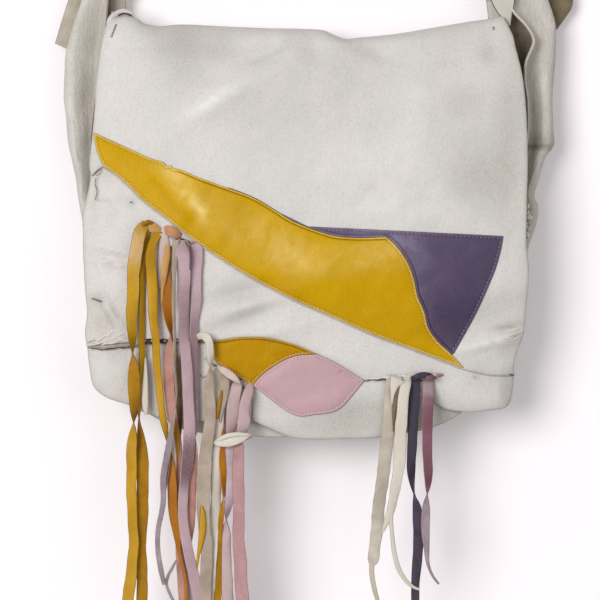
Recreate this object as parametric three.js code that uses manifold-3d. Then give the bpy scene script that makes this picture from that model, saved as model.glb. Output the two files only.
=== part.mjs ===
// A limp leather shoulder bag that hangs by its strap, with a pieced flap and laced fringe.
// Millimetres, +Z up, the flap faces -Y. The origin is the underside of the strap's crown.
import * as THREE from 'three';
import { mergeVertices } from 'three/addons/utils/BufferGeometryUtils.js';
import Module from 'manifold-3d';

const wasm = await Module();
wasm.setup();

// Leather
const LEATHER = 1.6; // panels, gussets and flap pieces
const PATCH_LEATHER = 1.2; // coloured pieces sewn on the flap
const STRIP_LEATHER = 1.2; // fringe strips
const SEAT_GAP = 0.3; // air between pieces that are sewn together

// Body of the bag
const BODY_WIDTH = 330; // front and back panels, seam to seam
const BODY_HEIGHT = 332; // top fold to the bottom edge
const CORNER_RADIUS = 64; // lower corners of the panels
const MOUTH_DEPTH = 24; // front to back at the mouth
const BASE_DEPTH = 42; // front to back along the bottom
const BELLY = 15; // swell of the front panel between mouth and bottom
const MOUTH_DROP = 34; // top edge of the front panel below the top fold
const GUSSET_INSET = 2.4; // gusset edges inside the panel edges

// Side gussets, which stand out past the flap and run up as tongues to the strap
const LEFT_SWELL = 28; // how far the left gusset stands out from its seams
const RIGHT_SWELL = 34;
const TONGUE_RISE = 62; // top of the tongues above the top fold
const TONGUE_INSET = 4; // tongue edges inside the gusset seams
const TONGUE_FOLD = 14; // front to back of the folded tongue

// Flap
const FLAP_OVERHANG = 12; // flap past the body panels at each side
const FLAP_OVERLAP = 3; // flap below the bottom edge of the body
const FLAP_AIR = 4; // between the flap and the front panel
const FOLD_SAG = 7; // dip of the top fold between its corners
const SEAM_LAP = 8; // one flap piece under the next
const FLAP_WIDTH = BODY_WIDTH + 2 * FLAP_OVERHANG;
const FLAP_DROP = BODY_HEIGHT + FLAP_OVERLAP;

// Fringe
const STRIP_WIDTH = 8.8;
const THIN_STRIP_WIDTH = 4.6;
const STRIP_NECK = 5.4; // width of a strip where it comes through its slit
const STRIP_TAIL = 2; // end of a strip behind the flap
const SLIT_CLEARANCE = 0.6; // around a strip in its slit
const TIE_HEIGHT = 10; // cream strip tied round the pink strips
const TIE_CLEARANCE = 0.6;

// Strap
const STRAP_RISE = 400; // top fold to the underside of the strap's crown
const STRAP_WIDTH = 38;
const STRAP_THICKNESS = 2.4;
const STRAP_FOOT = 26; // lower end of the strap above the top fold
const STRAP_SPREAD = 332; // between the strap's two lower ends
const CROWN_FLAT = 34; // level stretch that bears on the peg or shoulder
const CROWN_BEND = 46; // reach of the bend at each end of the crown
const TAIL_WIDTH = 17;

// Colours
const CREAM = 0xe6e0d6;
const YELLOW = 0xd6a416;
const PURPLE = 0x4b3f5c;
const PINK = 0xcfa3a8;
const LILAC = 0xb89aa8;
const SALMON = 0xc08a74;
const AMBER = 0xb06a12;
const PLUM = 0x7d4a5c;
const SUEDE = 0xb3a48e;

const HALF_BODY = BODY_WIDTH / 2;
const LAYER = LEATHER + SEAT_GAP; // one flap piece in front of the next
const BACK_FACE = MOUTH_DEPTH / 2; // inner face of the back panel
const CURVE_STEPS = 3;

// Layers of the flap, counted out from the bag
const LEFT_LOBE = 0;
const CENTRE_LOBE = 1;
const LOWER_PANEL = 2;
const UPPER_PANEL = 3;
const PATCHES = 4;

const v3 = (x, y, z) => new THREE.Vector3(x, y, z);

// A place on the flap: percent of its half width from the middle, percent of its drop from the top fold
const at = ([across, down]) => new THREE.Vector2(
  (across / 100) * (FLAP_WIDTH / 2),
  -(down / 100) * FLAP_DROP,
);

function solidOf(geometry) {
  const bare = new THREE.BufferGeometry();
  bare.setAttribute('position', geometry.getAttribute('position').clone());
  if (geometry.index) bare.setIndex(geometry.index.clone());
  const merged = mergeVertices(bare, 1e-4);
  return new wasm.Manifold(new wasm.Mesh({
    numProp: 3,
    vertProperties: new Float32Array(merged.attributes.position.array),
    triVerts: new Uint32Array(merged.index.array),
  }));
}

function geometryOf(solid) {
  const { vertProperties, triVerts } = solid.getMesh();
  const geometry = new THREE.BufferGeometry();
  geometry.setAttribute('position', new THREE.BufferAttribute(new Float32Array(vertProperties), 3));
  geometry.setIndex(new THREE.BufferAttribute(new Uint32Array(triVerts), 1));
  geometry.computeVertexNormals();
  return geometry;
}

function geometryFrom(points, faces) {
  const geometry = new THREE.BufferGeometry();
  geometry.setFromPoints(points);
  geometry.setIndex(faces);
  return geometry;
}

// A sheet of even thickness on surface(u, v), from `inner` to `outer` along its normal
function sheet(surface, us, vs, inner, outer) {
  const points = [];
  const faces = [];
  const step = 1e-3;
  const columns = vs.length;
  const layer = us.length * columns;
  for (const lift of [outer, inner]) {
    for (const u of us) {
      for (const v of vs) {
        const alongU = surface(u + step, v).sub(surface(u - step, v));
        const alongV = surface(u, v + step).sub(surface(u, v - step));
        const normal = alongU.cross(alongV).normalize();
        points.push(surface(u, v).addScaledVector(normal, lift));
      }
    }
  }
  const quad = (a, b, c, d) => faces.push(a, b, c, a, c, d);
  const id = (i, j) => i * columns + j;
  for (let i = 0; i + 1 < us.length; i += 1) {
    for (let j = 0; j + 1 < columns; j += 1) {
      quad(id(i, j), id(i + 1, j), id(i + 1, j + 1), id(i, j + 1));
      quad(layer + id(i, j), layer + id(i, j + 1), layer + id(i + 1, j + 1), layer + id(i + 1, j));
    }
  }
  const rim = [
    ...us.map((_, i) => id(i, 0)),
    ...vs.slice(1).map((_, j) => id(us.length - 1, j + 1)),
    ...us.slice(1).map((_, i) => id(us.length - 2 - i, columns - 1)),
    ...vs.slice(2).map((_, j) => id(0, columns - 2 - j)),
  ];
  rim.forEach((a, k) => {
    const b = rim[(k + 1) % rim.length];
    quad(a, layer + a, layer + b, b);
  });
  return geometryFrom(points, faces);
}

// A flat band of a given width through points, each with the direction its width lies in
function band(points, wides, widths, thickness) {
  const rings = points.map((point, i) => {
    const before = points[Math.max(i - 1, 0)];
    const after = points[Math.min(i + 1, points.length - 1)];
    const tangent = after.clone().sub(before).normalize();
    const wide = wides[i].clone().addScaledVector(tangent, -wides[i].dot(tangent)).normalize();
    const normal = tangent.clone().cross(wide);
    return [[-1, -1], [1, -1], [1, 1], [-1, 1]].map(([w, n]) => point.clone()
      .addScaledVector(wide, (w * widths[i]) / 2)
      .addScaledVector(normal, (n * thickness) / 2));
  });
  const faces = [0, 2, 1, 0, 3, 2];
  for (let i = 0; i + 1 < rings.length; i += 1) {
    for (let k = 0; k < 4; k += 1) {
      const a = i * 4 + k;
      const b = i * 4 + ((k + 1) % 4);
      faces.push(a, b, b + 4, a, b + 4, a + 4);
    }
  }
  const end = (rings.length - 1) * 4;
  faces.push(end, end + 1, end + 2, end, end + 2, end + 3);
  return geometryFrom(rings.flat(), faces);
}

const range = (from, to, steps) => Array.from(
  { length: steps + 1 },
  (_, i) => from + ((to - from) * i) / steps,
);

// A closed outline from runs of points: two make a straight edge, more a smooth curve
function outline(...runs) {
  const points = runs.flatMap((run) => (run.length > 2
    ? new THREE.SplineCurve(run).getPoints((run.length - 1) * CURVE_STEPS)
    : run));
  const apart = (point, i) => point.distanceTo(points.at(i - 1)) > SEAT_GAP;
  return new THREE.Shape(points.filter(apart));
}

// A cutter of the given outline, seen from the front, that goes right through the bag
function cutter(shape) {
  const reach = 4 * (BASE_DEPTH + BELLY);
  const geometry = new THREE.ExtrudeGeometry(shape, { depth: reach, bevelEnabled: false });
  geometry.rotateX(Math.PI / 2);
  geometry.translate(0, reach / 2, 0);
  return solidOf(geometry);
}

// Inner face of the front panel, from the front-to-back depth of the body at a place
function frontFace(x, z) {
  const down = THREE.MathUtils.clamp(-z / BODY_HEIGHT, 0, 1);
  const across = Math.max(0, 1 - (x / HALF_BODY) ** 2);
  const swell = BELLY * Math.sin(Math.PI * down) * (0.4 + 0.6 * across);
  return BACK_FACE - MOUTH_DEPTH - (BASE_DEPTH - MOUTH_DEPTH) * down - swell;
}

// The flap's innermost face: down the front, and over the top in a half round to the back panel
const flapFace = (x, z) => frontFace(x, z) - LEATHER - FLAP_AIR;
const foldBack = BACK_FACE - UPPER_PANEL * LAYER;
const foldFront = flapFace(HALF_BODY, 0);
const foldRadius = (foldBack - foldFront) / 2;
const foldFoot = -foldRadius - UPPER_PANEL * LAYER - LEATHER;
const foldSag = (x) => -FOLD_SAG * Math.cos((Math.PI * x) / FLAP_WIDTH) ** 2;

function flapSurface(v, x) {
  if (v >= 0) return v3(x, flapFace(x, foldFoot - v) + foldBlend(x, v), foldFoot - v);
  const turn = -v * Math.PI;
  const y = (foldBack + foldFront) / 2 - foldRadius * Math.cos(turn);
  return v3(x, y, foldFoot + (foldRadius + foldSag(x)) * Math.sin(turn));
}

// Lets the front leave the fold without a step
function foldBlend(x, v) {
  const step = foldFront - flapFace(x, foldFoot);
  return step * Math.max(0, 1 - v / MOUTH_DROP);
}

const flapColumns = range(-FLAP_WIDTH / 2 - FLAP_OVERHANG, FLAP_WIDTH / 2 + FLAP_OVERHANG, 14);
const flapRows = [
  ...range(-1, -0.2, 6),
  ...range(0, FLAP_DROP + foldFoot + FLAP_OVERHANG, 12),
];

// A piece of the flap: its outline cut out of a sheet in its layer
function flapPiece(shape, layer, thickness, ...holes) {
  const lift = layer * LAYER;
  const blank = solidOf(sheet(flapSurface, flapRows, flapColumns, lift, lift + thickness));
  let piece = blank.intersect(cutter(shape));
  holes.forEach((hole) => {
    piece = piece.subtract(hole);
  });
  return geometryOf(piece);
}

// Edges that the flap pieces share, laid out on the flap
const seamGap = new THREE.Vector2(0, SEAT_GAP * 2);
const moved = (run, by) => run.map((point) => point.clone().add(by));
const back = (run) => [...run].reverse();
const rightEdge = [
  [88, -12], [88, -1], [92.6, 6], [97.5, 15], [100, 26], [99, 54], [100, 60], [98, 75], [94, 82],
].map(at);
const rightLobe = [[94, 85], [93.5, 89], [90, 92.4], [75, 93.4], [62, 92.4], [58.5, 91.4]].map(at);
const leftEdge = [[-96.5, 37], [-96, 22], [-94.5, 12], [-91, 4], [-87.5, -2], [-87.5, -12]].map(at);
const leftFlank = [[-98, 36], [-100.5, 46], [-100, 58], [-98.5, 70], [-99.5, 75], [-99, 77.6]].map(at);
const rightSeam = [[94, 85], [82, 84.7], [71, 83]].map(at);
const bladeFoot = [
  [71, 83], [53, 79.4], [29, 74.6], [-7, 66.3], [-25, 61.2], [-54, 51], [-73, 43], [-91.5, 34.6],
].map(at);
const bladeTip = [[-91.5, 34.6], [-94.4, 31.5], [-96, 27]].map(at);
const bladeTop = [[-96, 27], [-70, 33], [-47, 38], [-23, 42.7], [-7, 48], [12, 52], [36, 52]].map(at);
const bladeSide = [
  [36, 52], [41, 54.5], [48.6, 62], [53.7, 70], [57, 75.5], [65, 79.8], [71, 83],
].map(at);
const leftSeam = [[-99, 77.6], [-80, 77], [-60, 76.7], [-43, 76.6]].map(at);
const leafTop = [[-43, 76.6], [-32, 75.8], [-21, 75.6], [-4, 77.4], [5, 79.6]].map(at);
const pinkTop = [[5, 79.6], [13, 81.7], [20, 84], [26.6, 86]].map(at);
const leafFoot = [[5, 79.6], [-4, 80], [-10, 81.2], [-16, 83], [-24, 87.2]].map(at);
const leafSide = [[-24, 87.2], [-34, 83.8], [-41.5, 81], [-43, 76.6]].map(at);
const pinkFoot = [
  [26.6, 86], [21.5, 89.3], [15.5, 92.8], [4, 94], [-3, 94.4], [-13, 91.3], [-23.4, 87.4],
].map(at);
const lipEdge = [[26.6, 86], [38, 85], [50, 84.6], [62, 84.6]].map(at);
const centreFoot = [
  [51, 91], [50, 97], [34, 99.4], [16, 100], [3, 100], [-8, 99.4], [-18, 97], [-24, 95.6],
].map(at);
const leftFoot = [
  [-19, 96], [-40, 96.4], [-62, 95.2], [-71, 94], [-86, 91], [-94, 88.4], [-98, 81], [-98.5, 77],
].map(at);

// Slits that the fringe comes through: ends, the layer they are cut in, and how far in front it hangs
const slits = {
  left: { ends: [[-75, 49.4], [-46, 56.4]].map(at), layer: LOWER_PANEL },
  middle: { ends: [[-44.6, 81.4], [-26, 89.8]].map(at), layer: LEFT_LOBE },
  right: { ends: [[36, 86.8], [58, 86.6]].map(at), layer: CENTRE_LOBE },
};

function slitCutter({ ends: [from, to] }) {
  const run = to.clone().sub(from);
  const side = new THREE.Vector2(-run.y, run.x).normalize();
  side.multiplyScalar(STRIP_LEATHER / 2 + SLIT_CLEARANCE);
  const ease = run.clone().setLength(STRIP_NECK / 2 + SLIT_CLEARANCE);
  const start = from.clone().sub(ease);
  const end = to.clone().add(ease);
  return cutter(new THREE.Shape([
    start.clone().sub(side),
    end.clone().sub(side),
    end.clone().add(side),
    start.clone().add(side),
  ]));
}

// A point in front of the flap, which below the flap hangs straight down
function before(place, lift) {
  const z = Math.max(place.y, -FLAP_DROP);
  return v3(place.x, flapFace(place.x, z) - lift, place.y);
}

// How far in front of the flap the strips hang, in three sheets that pass each other
const FAR = 3.4;
const NEAR = 8;
const FIRST = 12.6;

// A fringe strip: out through its slit, over the flap's edge and down, turning about its own length
function strip({ slit, share, stand, run, width = STRIP_WIDTH }) {
  const { ends: [from, to], layer } = slits[slit];
  const root = from.clone().lerp(to, share);
  const slope = (to.y - from.y) / (to.x - from.x);
  const face = layer * LAYER + LEATHER;
  const hang = UPPER_PANEL * LAYER + stand;
  const lowered = (drop) => root.clone().sub(new THREE.Vector2(0, drop));
  const knots = [
    { point: before(root, layer * LAYER - STRIP_TAIL), turn: 0, tilt: 1, wide: STRIP_NECK },
    { point: before(root, face + STRIP_LEATHER), turn: 0, tilt: 1, wide: STRIP_NECK },
    { point: before(lowered(STRIP_NECK), Math.max(hang, face + 3)), turn: 0, tilt: 0.5, wide: STRIP_NECK },
    ...run.map(([across, down, turn = 0]) => ({
      point: before(at([across, down]), hang),
      turn: THREE.MathUtils.degToRad(turn),
      tilt: 0,
      wide: width,
    })),
  ];
  const curve = new THREE.CatmullRomCurve3(knots.map((knot) => knot.point), false, 'centripetal');
  const shares = range(0, 1, (knots.length - 1) * 2);
  const between = (key) => shares.map((u) => {
    const place = u * (knots.length - 1);
    const i = Math.min(Math.floor(place), knots.length - 2);
    return THREE.MathUtils.lerp(knots[i][key], knots[i + 1][key], place - i);
  });
  const tilts = between('tilt');
  const wides = between('turn').map((turn, i) => v3(Math.cos(turn), Math.sin(turn), tilts[i] * slope));
  return band(shares.map((u) => curve.getPoint(u)), wides, between('wide'), STRIP_LEATHER);
}

// Where the tie holds the two pink strips
const tiedInner = [-33.4, 103];
const tiedOuter = [-28.6, 103];

const fringe = [
  {
    name: 'fringe_left_yellow_outer',
    colour: YELLOW,
    slit: 'left',
    share: 0,
    stand: NEAR,
    run: [
      [-76, 57], [-79, 66], [-79, 79, 90], [-79, 87, 180], [-79, 96.7, 270], [-79, 107, 360],
      [-79, 116, 360], [-79, 126, 450], [-80, 138, 540], [-80.5, 147, 540],
    ],
  },
  {
    name: 'fringe_left_yellow_inner',
    colour: YELLOW,
    slit: 'left',
    share: 1 / 6,
    stand: FAR,
    run: [
      [-71.5, 58], [-73.4, 66], [-73, 76, 30], [-73, 86, 60], [-73.2, 100, 180], [-73.4, 114, 180],
      [-73.4, 127, 240], [-73, 138, 360],
    ],
  },
  {
    name: 'fringe_left_yellow_short',
    colour: YELLOW,
    slit: 'left',
    share: 2 / 6,
    stand: NEAR,
    run: [
      [-67.5, 58], [-68.6, 65], [-67.6, 76, 40], [-66.2, 87], [-64.6, 95], [-63, 101, -20], [-61.6, 108],
      [-61.4, 116], [-61, 126, 15], [-60, 138], [-59.6, 143],
    ],
  },
  {
    name: 'fringe_left_salmon',
    colour: SALMON,
    slit: 'left',
    share: 3 / 6,
    stand: FAR,
    run: [
      [-62.6, 59], [-62.2, 66], [-61.6, 76, 40], [-61.4, 87], [-60.2, 94], [-59, 99], [-57.4, 108, -20],
      [-57, 119], [-56.6, 130, 15], [-56.6, 141],
    ],
  },
  {
    name: 'fringe_left_cream_thin',
    colour: SUEDE,
    slit: 'left',
    share: 4 / 6,
    stand: FIRST,
    width: THIN_STRIP_WIDTH,
    run: [
      [-58.6, 60], [-58.6, 76], [-58, 90], [-60.2, 98], [-63, 104, 20], [-66, 115, 30], [-67, 122],
      [-66.4, 128], [-64, 134],
    ],
  },
  {
    name: 'fringe_left_lilac_inner',
    colour: LILAC,
    slit: 'left',
    share: 5 / 6,
    stand: NEAR,
    run: [
      [-54.6, 60], [-54.8, 67], [-54, 79], [-53.4, 90], [-53, 96], [-53.2, 102, 15], [-54.2, 109, 15],
      [-54.8, 119], [-53.8, 126, -20], [-52.4, 132], [-51.2, 139], [-50.6, 146],
    ],
  },
  {
    name: 'fringe_left_lilac_outer',
    colour: LILAC,
    slit: 'left',
    share: 1,
    stand: FAR,
    run: [
      [-49.4, 61], [-49.8, 68], [-50, 79], [-49.8, 90], [-49.4, 100, 15], [-49.8, 109, 15],
      [-50, 119, 15], [-50.6, 129], [-50.4, 140],
    ],
  },
  {
    name: 'fringe_middle_cream_wide',
    colour: SUEDE,
    slit: 'middle',
    share: 0,
    stand: NEAR,
    run: [
      [-44, 85], [-43.4, 90], [-43.8, 96], [-44.6, 103], [-45.6, 110, -20], [-45, 119], [-44.4, 129, 20],
      [-45.2, 138], [-45, 144],
    ],
  },
  {
    name: 'fringe_middle_cream',
    colour: CREAM,
    slit: 'middle',
    share: 0.25,
    stand: FAR,
    run: [
      [-40.4, 87], [-40.6, 91], [-41.2, 98], [-41.4, 105], [-41.4, 115, 20], [-41.8, 125],
      [-42.4, 136, -20], [-42.2, 141],
    ],
  },
  {
    name: 'fringe_middle_amber',
    colour: AMBER,
    slit: 'middle',
    share: 0.5,
    stand: NEAR,
    width: THIN_STRIP_WIDTH,
    run: [
      [-37, 88.4], [-38.4, 92], [-39.2, 98], [-39.2, 108], [-38.8, 114, 40], [-38.8, 120],
      [-39, 129, -20], [-39.6, 138], [-39.2, 147],
    ],
  },
  {
    name: 'fringe_middle_pink_inner',
    colour: PINK,
    slit: 'middle',
    share: 0.75,
    stand: FAR,
    run: [
      [-32.4, 91], [-33, 96], tiedInner, [-33.2, 110], [-34, 117, 20], [-34.6, 125, -20], [-34.6, 138],
      [-34.2, 144],
    ],
  },
  {
    name: 'fringe_middle_pink_outer',
    colour: PINK,
    slit: 'middle',
    share: 1,
    stand: NEAR,
    run: [
      [-27.8, 92.6], [-28.2, 96], tiedOuter, [-28.8, 110], [-29, 122, 20], [-28.8, 129, -20],
      [-28.6, 138], [-28.2, 147],
    ],
  },
  {
    name: 'fringe_right_cream_outer',
    colour: SUEDE,
    slit: 'right',
    share: 0,
    stand: FAR,
    run: [
      [37, 90.4], [36.8, 98], [36, 107, 10], [33.8, 115, 20], [31, 124], [29.8, 131, -30], [32, 138, -60],
      [33.4, 144, -60],
    ],
  },
  {
    name: 'fringe_right_cream_inner',
    colour: CREAM,
    slit: 'right',
    share: 0.36,
    stand: NEAR,
    run: [
      [43.6, 91], [43.6, 98], [42, 105], [40.6, 112, 20], [38.6, 119, 50], [39.6, 126, 60],
      [42, 131.6, 40],
    ],
  },
  {
    name: 'fringe_right_purple',
    colour: PURPLE,
    slit: 'right',
    share: 0.68,
    stand: FAR,
    run: [
      [49.8, 91], [49, 100], [48, 107.5, 20], [48.4, 112.5, 90], [50.2, 119, 160], [50.4, 129, 180],
      [49.6, 136, 230], [49, 144.5, 300],
    ],
  },
  {
    name: 'fringe_right_plum',
    colour: PLUM,
    slit: 'right',
    share: 1,
    stand: NEAR,
    run: [
      [56, 91], [56, 98], [56, 108], [55.6, 114.6, 80], [55.6, 120, 150], [55.8, 126, 110],
      [57, 130.6, 80], [60, 134.6, 80],
    ],
  },
];

// Front and back panels
const bodyShape = (top) => {
  const shape = new THREE.Shape();
  const side = HALF_BODY - CORNER_RADIUS;
  const foot = CORNER_RADIUS - BODY_HEIGHT;
  shape.moveTo(HALF_BODY, top);
  shape.lineTo(-HALF_BODY, top);
  shape.absarc(-side, foot, CORNER_RADIUS, Math.PI, 1.5 * Math.PI, false);
  shape.absarc(side, foot, CORNER_RADIUS, 1.5 * Math.PI, 2 * Math.PI, false);
  return shape;
};

function backPanel() {
  const geometry = new THREE.ExtrudeGeometry(
    bodyShape(foldFoot - SEAT_GAP),
    { depth: LEATHER, bevelEnabled: false, curveSegments: 8 },
  );
  geometry.rotateX(Math.PI / 2);
  geometry.translate(0, BACK_FACE + LEATHER, 0);
  return geometry;
}

function frontPanel() {
  const surface = (x, z) => v3(x, frontFace(x, z), z);
  const blank = sheet(
    surface,
    range(-HALF_BODY - 1, HALF_BODY + 1, 10),
    range(-BODY_HEIGHT - 1, -MOUTH_DROP + 1, 10),
    0,
    LEATHER,
  );
  return geometryOf(solidOf(blank).intersect(cutter(bodyShape(-MOUTH_DROP))));
}

// Gusset edges keep this far from the inner faces of the panels
const seatOff = SEAT_GAP + LEATHER / 2;
const gussetFoot = CORNER_RADIUS - BODY_HEIGHT;

// A side gusset lofted on three rails: back seam, outermost line and front seam
function sideGusset(side, swell, shares) {
  const seam = HALF_BODY - GUSSET_INSET;
  const tongueSeam = seam - TONGUE_INSET;
  const lower = [1, 0.62, 0.36, 0.16, 0].map((share) => share * gussetFoot);
  const heights = [...lower, 0.3 * TONGUE_RISE, TONGUE_RISE];
  const rails = { rear: [], outer: [], front: [] };
  heights.forEach((z, i) => {
    const rise = THREE.MathUtils.clamp((z + MOUTH_DROP) / (TONGUE_RISE + MOUTH_DROP), 0, 1);
    const settle = THREE.MathUtils.smoothstep(z, -1.5 * MOUTH_DROP, 0);
    const x = THREE.MathUtils.lerp(seam, tongueSeam, rise);
    const rear = THREE.MathUtils.lerp(BACK_FACE - seatOff, TONGUE_FOLD / 2, settle);
    const front = THREE.MathUtils.lerp(frontFace(seam, z) + seatOff, -TONGUE_FOLD / 2, settle);
    const out = swell * shares[i];
    rails.rear.push(v3(side * x, rear, z));
    rails.outer.push(v3(side * (x + out), (rear + front) / 2, z));
    rails.front.push(v3(side * x, front, z));
  });
  const curves = Object.values(rails).map((rail) => new THREE.CatmullRomCurve3(rail));
  const surface = (u, v) => {
    const [rear, outer, front] = curves.map((curve) => curve.getPoint(THREE.MathUtils.clamp(u, 0, 1)));
    const pull = outer.multiplyScalar(2).addScaledVector(rear, -0.5).addScaledVector(front, -0.5);
    return new THREE.QuadraticBezierCurve3(rear, pull, front).getPoint(v);
  };
  return sheet(surface, range(0.002, 0.998, 14), range(0, 1, 7), -LEATHER / 2, LEATHER / 2);
}

// The base gusset runs round both lower corners between the ends of the side gussets
function baseGusset() {
  const seam = HALF_BODY - GUSSET_INSET;
  const radius = CORNER_RADIUS - GUSSET_INSET;
  const path = new THREE.Path();
  path.moveTo(-seam, gussetFoot - LEATHER);
  path.absarc(radius - seam, gussetFoot - LEATHER, radius - LEATHER, Math.PI, 1.5 * Math.PI, false);
  path.absarc(seam - radius, gussetFoot - LEATHER, radius - LEATHER, 1.5 * Math.PI, 2 * Math.PI, false);
  const surface = (u, v) => {
    const { x, y: z } = path.getPointAt(THREE.MathUtils.clamp(u, 0, 1));
    const front = frontFace(x, z) + seatOff;
    return v3(x, THREE.MathUtils.lerp(front, BACK_FACE - seatOff, v), z);
  };
  return sheet(surface, range(0.002, 0.998, 18), range(0, 1, 2), -LEATHER / 2, LEATHER / 2);
}

// The strap: two straight legs, turned edge-on at the crown, where it lies flat over its support
const strapPlane = TONGUE_FOLD / 2 + LEATHER / 2 + SEAT_GAP + STRAP_THICKNESS / 2;

function strapBand() {
  const crown = STRAP_RISE + STRAP_THICKNESS / 2;
  const foot = v3(STRAP_SPREAD / 2, 0, STRAP_FOOT);
  const flatEnd = v3(CROWN_FLAT / 2, 0, crown);
  const corner = v3(CROWN_FLAT / 2 + CROWN_BEND / 2, 0, crown);
  const legEnd = corner.clone().lerp(foot, CROWN_BEND / corner.distanceTo(foot));
  const leg = new THREE.LineCurve3(foot, legEnd).getPoints(14);
  leg.forEach((point) => {
    point.y = strapPlane * (1 - THREE.MathUtils.smoothstep(point.z, TONGUE_RISE, legEnd.z));
  });
  const bend = new THREE.QuadraticBezierCurve3(legEnd, corner, flatEnd).getPoints(5).slice(1);
  const half = [...leg, ...bend];
  const flip = (point) => v3(-point.x, point.y, point.z);
  const points = [...half, ...half.map(flip).reverse()];
  const turns = points.map((point) => {
    const rise = (point.z - STRAP_FOOT) / (STRAP_RISE - STRAP_FOOT);
    return (Math.PI / 2) * THREE.MathUtils.smoothstep(rise, 0.3, 0.88);
  });
  const lean = Math.atan2(corner.x - foot.x, corner.z - foot.z);
  const wides = points.map((point, i) => {
    const side = Math.sign(point.x);
    const flat = v3(Math.cos(lean), 0, -side * Math.sin(lean)).multiplyScalar(Math.cos(turns[i]));
    return flat.add(v3(0, -side * Math.sin(turns[i]), 0));
  });
  return solidOf(band(points, straightened(wides), points.map(() => STRAP_WIDTH), STRAP_THICKNESS));
}

// Keeps the width direction on one side from each point to the next
function straightened(wides) {
  return wides.reduce((kept, wide) => {
    const last = kept.at(-1);
    kept.push(last && last.dot(wide) < 0 ? wide.negate() : wide);
    return kept;
  }, []);
}

// A tail of the strap: from the foot of its leg down to a tip at x, z
function strapTail(fromX, toX, toZ) {
  const start = v3(fromX, strapPlane, STRAP_FOOT + STRAP_WIDTH / 2);
  const tip = v3(toX, strapPlane + SEAT_GAP, toZ);
  const points = new THREE.LineCurve3(start, tip).getPoints(3);
  const wides = points.map(() => v3(1, 0, 0));
  return solidOf(band(points, wides, points.map(() => TAIL_WIDTH), STRAP_THICKNESS));
}

function strap() {
  const foot = STRAP_SPREAD / 2;
  const quarter = STRAP_WIDTH / 4;
  return geometryOf(strapBand()
    .add(strapTail(-foot - quarter, -foot - 1.5 * quarter - TAIL_WIDTH / 2, -20))
    .add(strapTail(-foot + quarter, -foot + 1.5 * quarter, 8))
    .add(strapTail(foot - quarter, foot - 0.5 * quarter, 6))
    .add(strapTail(foot + quarter, foot + 2.4 * quarter + TAIL_WIDTH / 2, -4)));
}

// The cream strip tied round the two pink ones below the flap
function tie() {
  const inner = before(at(tiedInner), UPPER_PANEL * LAYER + FAR);
  const outer = before(at(tiedOuter), UPPER_PANEL * LAYER + NEAR);
  const halfWidth = (outer.x - inner.x + STRIP_WIDTH) / 2 + 3 * TIE_CLEARANCE;
  const halfDepth = (inner.y - outer.y) / 2 + 2 * STRIP_LEATHER + 2 * TIE_CLEARANCE;
  const oval = (path, grow) => path.absellipse(0, 0, halfWidth + grow, halfDepth + grow, 0, 2 * Math.PI);
  const ring = oval(new THREE.Shape(), STRIP_LEATHER);
  ring.holes.push(oval(new THREE.Path(), 0));
  const upright = { depth: TIE_HEIGHT, bevelEnabled: false, curveSegments: 9 };
  const geometry = new THREE.ExtrudeGeometry(ring, upright);
  geometry.translate((inner.x + outer.x) / 2, (inner.y + outer.y) / 2, inner.z - TIE_HEIGHT / 2);
  return geometry;
}

const bag = new THREE.Group();
bag.position.z = -STRAP_RISE;

function add(name, geometry, colour) {
  const material = new THREE.MeshStandardMaterial({ color: colour, roughness: 0.7 });
  const mesh = new THREE.Mesh(geometry, material);
  mesh.name = name;
  bag.add(mesh);
}

add('back_panel', backPanel(), CREAM);
add('front_panel', frontPanel(), CREAM);
add('base_gusset', baseGusset(), CREAM);
add('gusset_left', sideGusset(-1, LEFT_SWELL, [0.1, 0.3, 0.72, 1, 0.9, 0.76, 0.66]), CREAM);
add('gusset_right', sideGusset(1, RIGHT_SWELL, [0.1, 0.4, 0.94, 1, 1.06, 0.92, 0.6]), CREAM);

const lapUp = new THREE.Vector2(0, SEAM_LAP);
add('flap_upper', flapPiece(
  outline(rightEdge, rightSeam, bladeFoot, leftEdge),
  UPPER_PANEL,
  LEATHER,
), CREAM);
add('flap_lower', flapPiece(
  outline(
    moved(back(bladeFoot), lapUp),
    moved(back(rightSeam), lapUp),
    rightLobe,
    moved(back(lipEdge), seamGap),
    moved(back(pinkTop), seamGap),
    moved(back(leafTop), seamGap),
    back(leftSeam),
    back(leftFlank),
  ),
  LOWER_PANEL,
  LEATHER,
  slitCutter(slits.left),
), CREAM);
add('flap_centre_lobe', flapPiece(
  outline(
    moved(leafTop, lapUp),
    moved(pinkTop, lapUp),
    moved(lipEdge, lapUp),
    centreFoot,
    leafSide.slice(0, 2),
  ),
  CENTRE_LOBE,
  LEATHER,
  slitCutter(slits.right),
), CREAM);
add('flap_left_lobe', flapPiece(
  outline(moved(leftSeam, lapUp), [[-19, 77], [-19, 96]].map(at), leftFoot),
  LEFT_LOBE,
  LEATHER,
  slitCutter(slits.middle),
), CREAM);

const bladeShape = outline(bladeTop, bladeSide, bladeFoot, bladeTip);
add('patch_blade', flapPiece(bladeShape, PATCHES, PATCH_LEATHER), YELLOW);
const offBlade = new THREE.Vector2(SEAT_GAP * 2, SEAT_GAP * 2);
add('patch_sail', flapPiece(
  outline(
    [[1, 49.4], [89, 51.6]].map(at),
    [[89, 51.6], [86, 59], [77, 70], [67, 79.6]].map(at),
    moved(back(bladeSide.slice(0, -1)), offBlade),
    moved(back(bladeTop.slice(-3)), offBlade),
  ),
  PATCHES,
  PATCH_LEATHER,
), PURPLE);
add('patch_leaf', flapPiece(outline(leafTop, leafFoot, leafSide), LOWER_PANEL, PATCH_LEATHER), YELLOW);
add('patch_petal', flapPiece(
  outline(pinkTop, pinkFoot, moved(back(leafFoot.slice(1, -1)), seamGap.clone().negate())),
  LOWER_PANEL,
  PATCH_LEATHER,
), PINK);

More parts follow.
